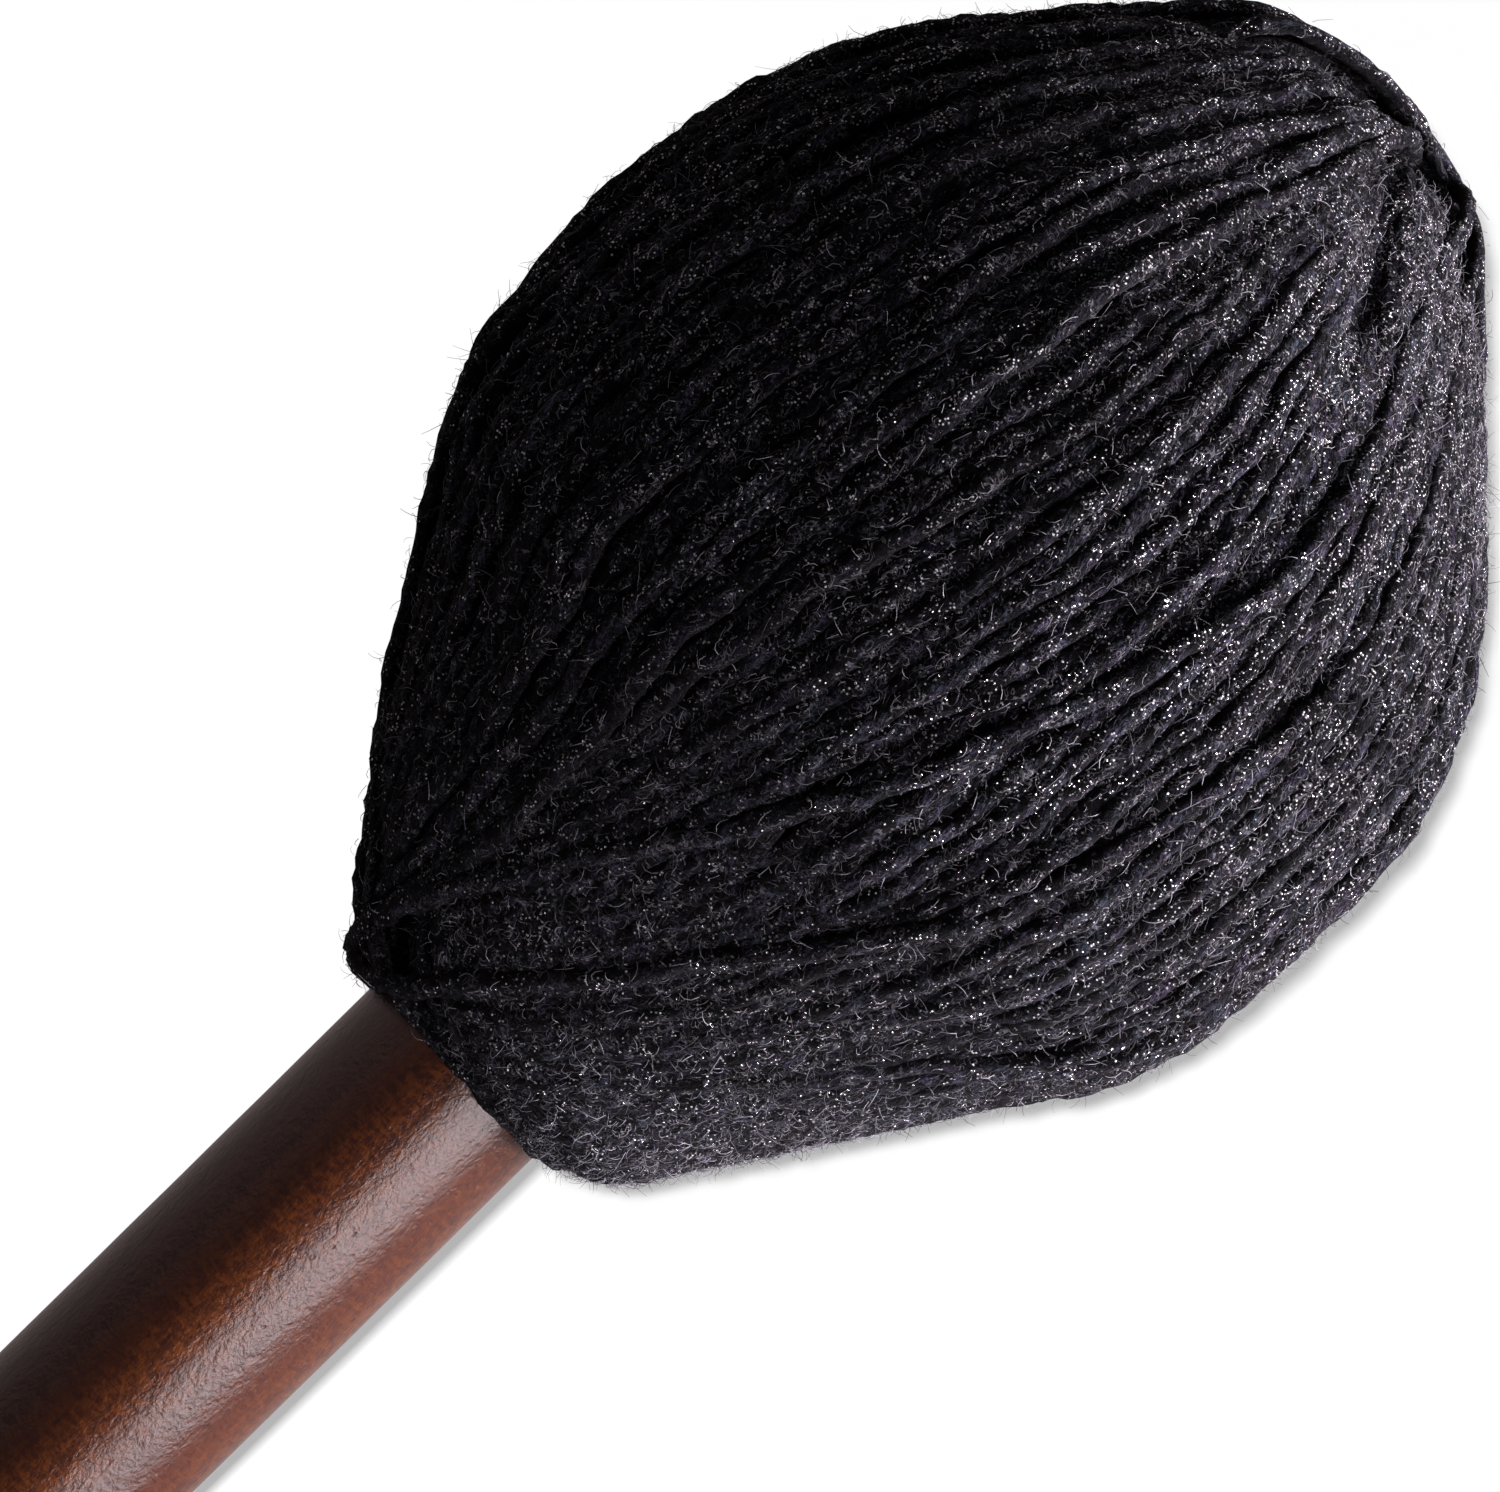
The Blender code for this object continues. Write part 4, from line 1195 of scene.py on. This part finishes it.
class MALLET_OT_fibres(bpy.types.Operator):
    """Adds the stray fibres that stand out of the yarn"""

    bl_idname = "mallet.fibres"
    bl_label = "Stray fibres"

    def execute(self, context):
        settings = context.scene.mallet_yarn
        wound = winding()
        random = np.random.default_rng(settings.seed + 2)
        found = []
        for turn in wound.turns:
            shown = (turn["cover"] < 0.35 * wound.reach * turn["give"]) & (turn["sunk"] < 0.3)
            # Fewer fibres where the strands crowd near the axis
            chance = wound.surface.read(wound.surface.radius, turn["run"][shown]) ** 1.5
            found.append((turn["centre"][shown], turn["normal"][shown], turn["across"][shown], chance))
        roots, normals, across, chance = (np.concatenate(rows) for rows in zip(*found))
        pick = random.choice(len(roots), settings.fibres, replace=False, p=chance / chance.sum())
        roots, normals, across = roots[pick], normals[pick], across[pick]
        ways = np.cross(across, normals)
        count = (len(pick), 1)
        # Most fibres lie on the strand and some stand out of it.
        side = random.uniform(-1.2, 1.2, count)
        out = normals * np.cos(side) + across * np.sin(side)
        beside = np.cross(out, ways)
        loose = random.random(count) < 0.16
        length = random.uniform(0.8, 2.6, count) * MM
        spin, bend = random.uniform(0, 2 * math.pi, count), random.normal(0, 1.6, count)
        steps = 3
        share = np.linspace(0, 1, steps + 1)
        turned = spin + bend * share
        flat = ways[:, None] * np.cos(turned)[..., None] + beside[:, None] * (np.sin(turned) * 0.8)[..., None]
        flat = np.cumsum(flat, axis=1) - flat[:, :1]
        standing = share * random.uniform(0.5, 1.9, count)
        hump = np.where(loose, standing, np.sin(math.pi * share) * 0.3 + 0.06 * share)
        start = roots + out * wound.reach * random.uniform(0.9, 1.04, count)
        paths = start[:, None] + flat * (length / steps)[..., None] + out[:, None] * (hump * MM)[..., None]
        width = random.uniform(0.025, 0.052, len(pick)) * MM
        taper = np.repeat(np.linspace(1, 0.45, steps + 1)[:, None], 3, axis=1)
        pieces = math.ceil(len(pick) * (2 * 3 * steps + 6) / PIECE_FACES)
        girth = 0.25
        for number in range(pieces):
            tubes = TubeMesh(f"yarn_fibres_{number + 1}", 3)
            for index in range(number * len(pick) // pieces, (number + 1) * len(pick) // pieces):
                parts = path_rings(paths[index], out[index] + 0.013, width[index] * taper, width[index])
                tubes.add(*parts, random.uniform(0, 1), girth)
            declare(tubes.build(stray_fibre(), girth), "charcoal_yarn")
        print(f"Stray fibres: {len(pick)} in {pieces} pieces")
        return {"FINISHED"}


def path_rings(path, toward, radius, tip):
    """Rings round a path, the points past its ends, and the distance of each ring in millimetres.

    toward is a way that the path doesn't take, radius has a value for every point of every ring, and tip is
    how far past the ends the points are.
    """
    ways = unit(np.gradient(path, axis=0))
    side = unit(np.cross(ways, toward))
    third = np.cross(ways, side)
    angle = np.arange(radius.shape[1]) / radius.shape[1] * 2 * math.pi
    offset = np.cos(angle)[None, :, None] * side[:, None] + np.sin(angle)[None, :, None] * third[:, None]
    tips = np.array([path[0] - ways[0] * tip, path[-1] + ways[-1] * tip])
    return path[:, None] + offset * radius[..., None], tips, distances(path) / MM


# The handle


def turned_object(name, outline, sides, finish):
    """A solid turned by hand from an outline that starts and ends on the axis."""
    turns = np.arange(sides) / sides * 2 * math.pi
    height = outline[1:-1, 1:]
    radius = outline[1:-1, :1] + worn(turns[None, :], height)
    rings = np.stack([radius * np.cos(turns), radius * np.sin(turns), np.repeat(height, sides, axis=1)], -1)
    rows = len(rings)
    places = np.concatenate([rings.reshape(-1, 3), [(0, 0, outline[0, 1]), (0, 0, outline[-1, 1])]])
    item = mesh_object(name, places, *tube_faces(rows, sides), finish)
    item.data.set_sharp_from_angle(angle=math.radians(40))
    down = distances(outline)
    down = down / down[-1]
    left, right = np.arange(sides) / sides, (np.arange(sides) + 1) / sides
    start, end = np.repeat(down[1:-2], sides), np.repeat(down[2:-1], sides)
    a, b = np.tile(left, rows - 1), np.tile(right, rows - 1)
    parts = [np.stack([a, start, b, start, b, end, a, end], -1)]
    for tip, ring, (a, b) in ((down[0], down[1], (right, left)), (down[-1], down[-2], (left, right))):
        tip, ring = np.full(sides, tip), np.full(sides, ring)
        parts.append(np.stack([left, tip, a, ring, b, ring], -1))
    add_map(item, "OFBake", np.concatenate([part.reshape(-1, 2) for part in parts]))
    return item


def worn(turns, height):
    """Hand-turned wood is never quite round: slow waves, in metres."""
    wave = 0.020 * np.sin(3 * turns + height * 31) + 0.014 * np.sin(5 * turns - height * 74 + 1.3)
    wave += 0.012 * np.sin(height * 410 + 2 * turns) * np.sin(height * 57 + turns)
    return wave * MM * smooth_step(height, 1 * MM, 8 * MM) * (1 - smooth_step(height, 230 * MM, 246 * MM))


class MALLET_OT_handle(bpy.types.Operator):
    """Turns the handle, from its rounded butt to the tenon in the core"""

    bl_idname = "mallet.handle"
    bl_label = "Handle"

    def execute(self, context):
        tie = HEAD_BASE + TIE_HEIGHT
        half, floor = THREAD_RADIUS + SEAT, HANDLE_RADIUS - 2 * THREAD_RADIUS - SEAT
        corners = [(0, 0), (HANDLE_RADIUS, 0), (HANDLE_RADIUS, tie - half)]
        outline = [tuple(p) for p in rounded(corners, [(BUTT_ROUNDING, BUTT_ROUNDING)], 14)]
        outline += [(floor, tie - half), (floor, tie + half), (HANDLE_RADIUS, tie + half)]
        outline += [(HANDLE_RADIUS, SHOULDER_TOP), (TENON_RADIUS, SHOULDER_TOP), (TENON_RADIUS, TENON_TOP)]
        outline += [(BORE_RADIUS, TENON_TOP), (BORE_RADIUS, BORE_FLOOR), (0, BORE_FLOOR)]
        dense = [np.array(outline[0])]
        for a, b in zip(outline, outline[1:]):
            a, b = np.array(a), np.array(b)
            steps = max(1, int(np.linalg.norm(b - a) / (1.2 * MM)))
            dense += [a + (b - a) * k / steps for k in range(1, steps + 1)]
        item = turned_object("handle_turned", np.array(dense), 144, stained_hardwood())
        declare(item, "stained_hardwood", "handle")
        return {"FINISHED"}


# The pieces inside


class MALLET_OT_core(bpy.types.Operator):
    """Finishes the core's rigid pieces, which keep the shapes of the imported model"""

    bl_idname = "mallet.core"
    bl_label = "Core"

    def execute(self, context):
        dark = turned_steel("dark_steel", (0.19, 0.195, 0.21), 0.34)
        zinc = turned_steel("zinc_plated_steel", (0.52, 0.53, 0.55), 0.22)
        finishes = {
            "handle_stud": dark,
            "steel_weight": dark,
            "lock_washer": dark,
            "clamp_washer": zinc,
            "hex_nut": zinc,
            "base_cushion": black_rubber(),
            "core_block": plain_maple(),
            "base_disc": birch_plywood(),
        }
        for node, finish in finishes.items():
            frame["nodes"][node].material_slots[0].material = finish
        return {"FINISHED"}


# Slow waves that make soft pieces uneven: the way that each runs, and where it starts
SOFT_WAVES = (
    ((1.0, 0.3, -0.5), 0.0),
    ((-0.4, 1.1, 0.3), 1.7),
    ((0.5, -0.2, 1.2), 4.1),
    ((0.9, 0.8, 0.7), 2.6),
)


def soft_copy(name, node, voxel, depth, scale, finish):
    """A soft piece in the space of its node: rounded edges, and a surface that dips in by up to depth."""
    item = linked(name, frame["nodes"][node].data.copy())
    item.data.materials.clear()
    item.data.materials.append(finish)
    remesh = item.modifiers.new("even", "REMESH")
    remesh.mode = "VOXEL"
    remesh.voxel_size = voxel
    smooth = item.modifiers.new("soft", "SMOOTH")
    smooth.iterations = 4
    evaluated = item.evaluated_get(bpy.context.evaluated_depsgraph_get())
    mesh = bpy.data.meshes.new_from_object(evaluated)
    item.modifiers.clear()
    item.data = mesh
    places, normals = (np.zeros((len(mesh.vertices), 3), np.float32) for _ in range(2))
    mesh.vertices.foreach_get("co", places.ravel())
    mesh.vertices.foreach_get("normal", normals.ravel())
    waves = sum(np.sin(places @ np.array(way) * scale + shift) for way, shift in SOFT_WAVES) / len(SOFT_WAVES)
    places = places - normals * (depth * (0.5 + 0.5 * waves))[:, None]
    mesh.vertices.foreach_set("co", places.astype(np.float32).ravel())
    mesh.polygons.foreach_set("use_smooth", np.ones(len(mesh.polygons), bool))
    mesh.update()
    return item


class MALLET_OT_padding(bpy.types.Operator):
    """Makes the felt pads and the fleece cover"""

    bl_idname = "mallet.padding"
    bl_label = "Padding"

    def execute(self, context):
        felt, fleece = pressed_felt(), cream_fleece()
        for node, fill in (("base_pad", 0.9), ("core_wrap", 0.9), ("crown_pad", 0.8)):
            item = soft_copy(f"{node}_felt", node, 1.4 * MM, 0.3 * MM, 900, felt)
            declare(item, "grey_felt", node)
        item = soft_copy("fleece_curls", "fleece_cover", 1.1 * MM, 0.7 * MM, 2300, fleece)
        declare(item, "cream_fleece", "fleece_cover")
        return {"FINISHED"}


def thread_path(radius, height, wave, waves):
    """A thread that runs round the axis almost twice and wanders a little."""
    turns = 1.9
    share = np.linspace(0, 1, 90)
    angle = share * turns * 2 * math.pi
    out = radius + wave * np.sin(angle * waves)
    rise = height + (share - 0.5) * turns * THREAD_RADIUS * 1.1
    return np.stack([out * np.cos(angle), out * np.sin(angle), rise], -1)


class MALLET_OT_threads(bpy.types.Operator):
    """Ties the yarn to the handle and gathers it at the crown"""

    bl_idname = "mallet.threads"
    bl_label = "Threads"

    def execute(self, context):
        low, high = (MALLET.inverted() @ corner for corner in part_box("crown_stitch"))
        groove = HANDLE_RADIUS - THREAD_RADIUS - SEAT
        threads = (
            ("tie_thread", "anchor_tie", (groove, HEAD_BASE + TIE_HEIGHT, 0.0, 1)),
            ("gathering_thread", "crown_stitch", (4.5 * MM, 0.5 * (low.z + high.z), 0.25 * MM, 6)),
        )
        radius, girth, sides = THREAD_RADIUS * 0.5, 2.2, 8
        angle = np.arange(sides) / sides * 2 * math.pi
        for name, node, shape in threads:
            path = thread_path(*shape)
            ply = 1 + 0.12 * np.cos(2 * angle[None, :] + (distances(path) / MM)[:, None] * 2)
            tubes = TubeMesh(name, sides)
            tubes.add(*path_rings(path, (0.0, 0.0, 1.0), radius * ply, radius * 0.6), 0.5, girth)
            declare(tubes.build(charcoal_yarn(), girth), "charcoal_yarn", node)
        return {"FINISHED"}


# The studio


WHITE = (1.0, 1.0, 1.0)
NEAR_GLOW = (1.0, 0.94, 0.94)
FAR_GLOW = (0.60, 0.47, 0.46)
LAMP_TINT = (1.0, 0.89, 0.92)
RIM_TINT = (1.0, 0.72, 0.68)
FLOOR_REACH = 6.0
FLOOR_DROP = 0.4 * MM
# In the view, the mallet's axis climbs this much from the lower left.
VIEW_SLANT = math.radians(44.5)
VIEW_MIDDLE = Vector((0, 2.6 * MM, HEAD_BASE + 48 * MM))


def aimed(item, place, target, up):
    """Places a lamp or a camera so that it looks at target, with up towards the top of its view."""
    back = (place - target).normalized()
    right = up.cross(back).normalized()
    turn = Matrix((right, back.cross(right), back)).transposed().to_4x4()
    item.matrix_world = Matrix.Translation(place) @ turn


class MALLET_OT_studio(bpy.types.Operator):
    """Sets the floor, the lights and the camera"""

    bl_idname = "mallet.studio"
    bl_label = "Studio"

    def execute(self, context):
        settings = context.scene.mallet_studio
        scene = context.scene
        self.add_floor()
        target = MALLET @ VIEW_MIDDLE
        upward, lower_right = -UNDER, -ACROSS
        camera_data = bpy.data.cameras.new("camera")
        camera_data.lens = camera_data.sensor_width * settings.distance / settings.width
        camera_data.clip_end = 20
        scene.camera = linked("camera", camera_data)
        up = AXIS * math.sin(VIEW_SLANT) - lower_right * math.cos(VIEW_SLANT)
        aimed(scene.camera, target + upward * settings.distance, target, up)
        # Power, tint, size, degrees round the axis and towards the crown, distance, and how the floor is lit
        lamps = {
            "key_softbox": (settings.key, LAMP_TINT, (0.85, 0.2), 49, -4, 1.0, "EXCLUDE"),
            "side_panel": (settings.side, LAMP_TINT, (0.9, 0.6), 99, 30, 0.9, "EXCLUDE"),
            "rim_strip": (settings.rim, RIM_TINT, (0.9, 0.25), -68, 0, 1.0, "EXCLUDE"),
            "floor_lamp": (settings.floor_lamp, WHITE, (0.045, 0.045), -2.2, 0, 1.5, "INCLUDE"),
        }
        for name, (power, tint, size, round_axis, to_crown, distance, floor_state) in lamps.items():
            round_axis, to_crown = math.radians(round_axis), math.radians(to_crown)
            way = upward * math.cos(round_axis) + lower_right * math.sin(round_axis)
            way = way * math.cos(to_crown) + AXIS * math.sin(to_crown)
            self.add_lamp(name, power, tint, size, target + way * distance, target, floor_state)
        world = bpy.data.worlds.new("studio_air")
        scene.world = world
        world.use_nodes = True
        sockets = world.node_tree.nodes["Background"].inputs
        sockets["Color"].default_value = (1, 1, 1, 1)
        sockets["Strength"].default_value = settings.fill
        scene.view_settings.view_transform = "Standard"
        return {"FINISHED"}

    def add_floor(self):
        """The floor, and a dimmer one that only reflections show."""
        settings = bpy.context.scene.mallet_studio
        kinds = (
            ("studio_floor", settings.floor, WHITE, WHITE, True),
            ("reflected_floor", settings.reflected, NEAR_GLOW, FAR_GLOW, False),
        )
        for name, strength, near, far, seen in kinds:
            mesh = bpy.data.meshes.new(name)
            corners = [(x * FLOOR_REACH, y * FLOOR_REACH, 0) for x, y in ((-1, -1), (1, -1), (1, 1), (-1, 1))]
            mesh.from_pydata(corners, [], [(0, 1, 2, 3)])
            mesh.materials.append(studio_floor(name, strength, near, far))
            floor = linked(name, mesh)
            floor.location.z = -FLOOR_DROP
            floor.visible_camera = seen
            floor.visible_diffuse = False
            floor.visible_glossy = not seen
            floor.visible_shadow = seen

    def add_lamp(self, name, power, tint, size, place, target, floor_state):
        """A lamp that either lights the floor alone (INCLUDE) or all but the floor (EXCLUDE)."""
        data = bpy.data.lights.new(name, "AREA")
        data.shape = "RECTANGLE"
        data.size, data.size_y = size
        data.energy = power
        data.color = tint
        lamp = linked(name, data)
        aimed(lamp, place, target, AXIS)
        lit = bpy.data.collections.new(f"lit_by_{name}")
        lit.objects.link(bpy.data.objects["studio_floor"])
        lamp.light_linking.receiver_collection = lit
        lit.collection_objects[0].light_linking.link_state = floor_state


class MALLET_PT_panel(bpy.types.Panel):
    """Steps that build the mallet, in order"""

    bl_idname = "MALLET_PT_panel"
    bl_label = "Gong mallet"
    bl_space_type = "VIEW_3D"
    bl_region_type = "UI"
    bl_category = "Mallet"

    def draw(self, context):
        scene = context.scene
        for settings in (scene.mallet_yarn, scene.mallet_handle, scene.mallet_studio):
            box = self.layout.box()
            for name in settings.__annotations__:
                box.prop(settings, name)
        for operator in OPERATORS:
            self.layout.operator(operator.bl_idname)


SETTINGS = {
    "mallet_yarn": MalletYarnSettings,
    "mallet_handle": MalletHandleSettings,
    "mallet_studio": MalletStudioSettings,
}
OPERATORS = (
    MALLET_OT_handle,
    MALLET_OT_core,
    MALLET_OT_padding,
    MALLET_OT_threads,
    MALLET_OT_body,
    MALLET_OT_winding,
    MALLET_OT_fibres,
    MALLET_OT_studio,
)


def register():
    for item in (*SETTINGS.values(), *OPERATORS, MALLET_PT_panel):
        bpy.utils.register_class(item)
    for name, settings in SETTINGS.items():
        setattr(bpy.types.Scene, name, bpy.props.PointerProperty(type=settings))


def unregister():
    for name in SETTINGS:
        delattr(bpy.types.Scene, name)
    for item in (MALLET_PT_panel, *reversed(OPERATORS), *reversed(SETTINGS.values())):
        bpy.utils.unregister_class(item)


def main():
    register()
    bpy.ops.mallet.handle()
    bpy.ops.mallet.core()
    bpy.ops.mallet.padding()
    bpy.ops.mallet.threads()
    bpy.ops.mallet.body()
    bpy.ops.mallet.winding()
    bpy.ops.mallet.fibres()
    bpy.ops.mallet.studio()


if __name__ == "__main__":
    main()
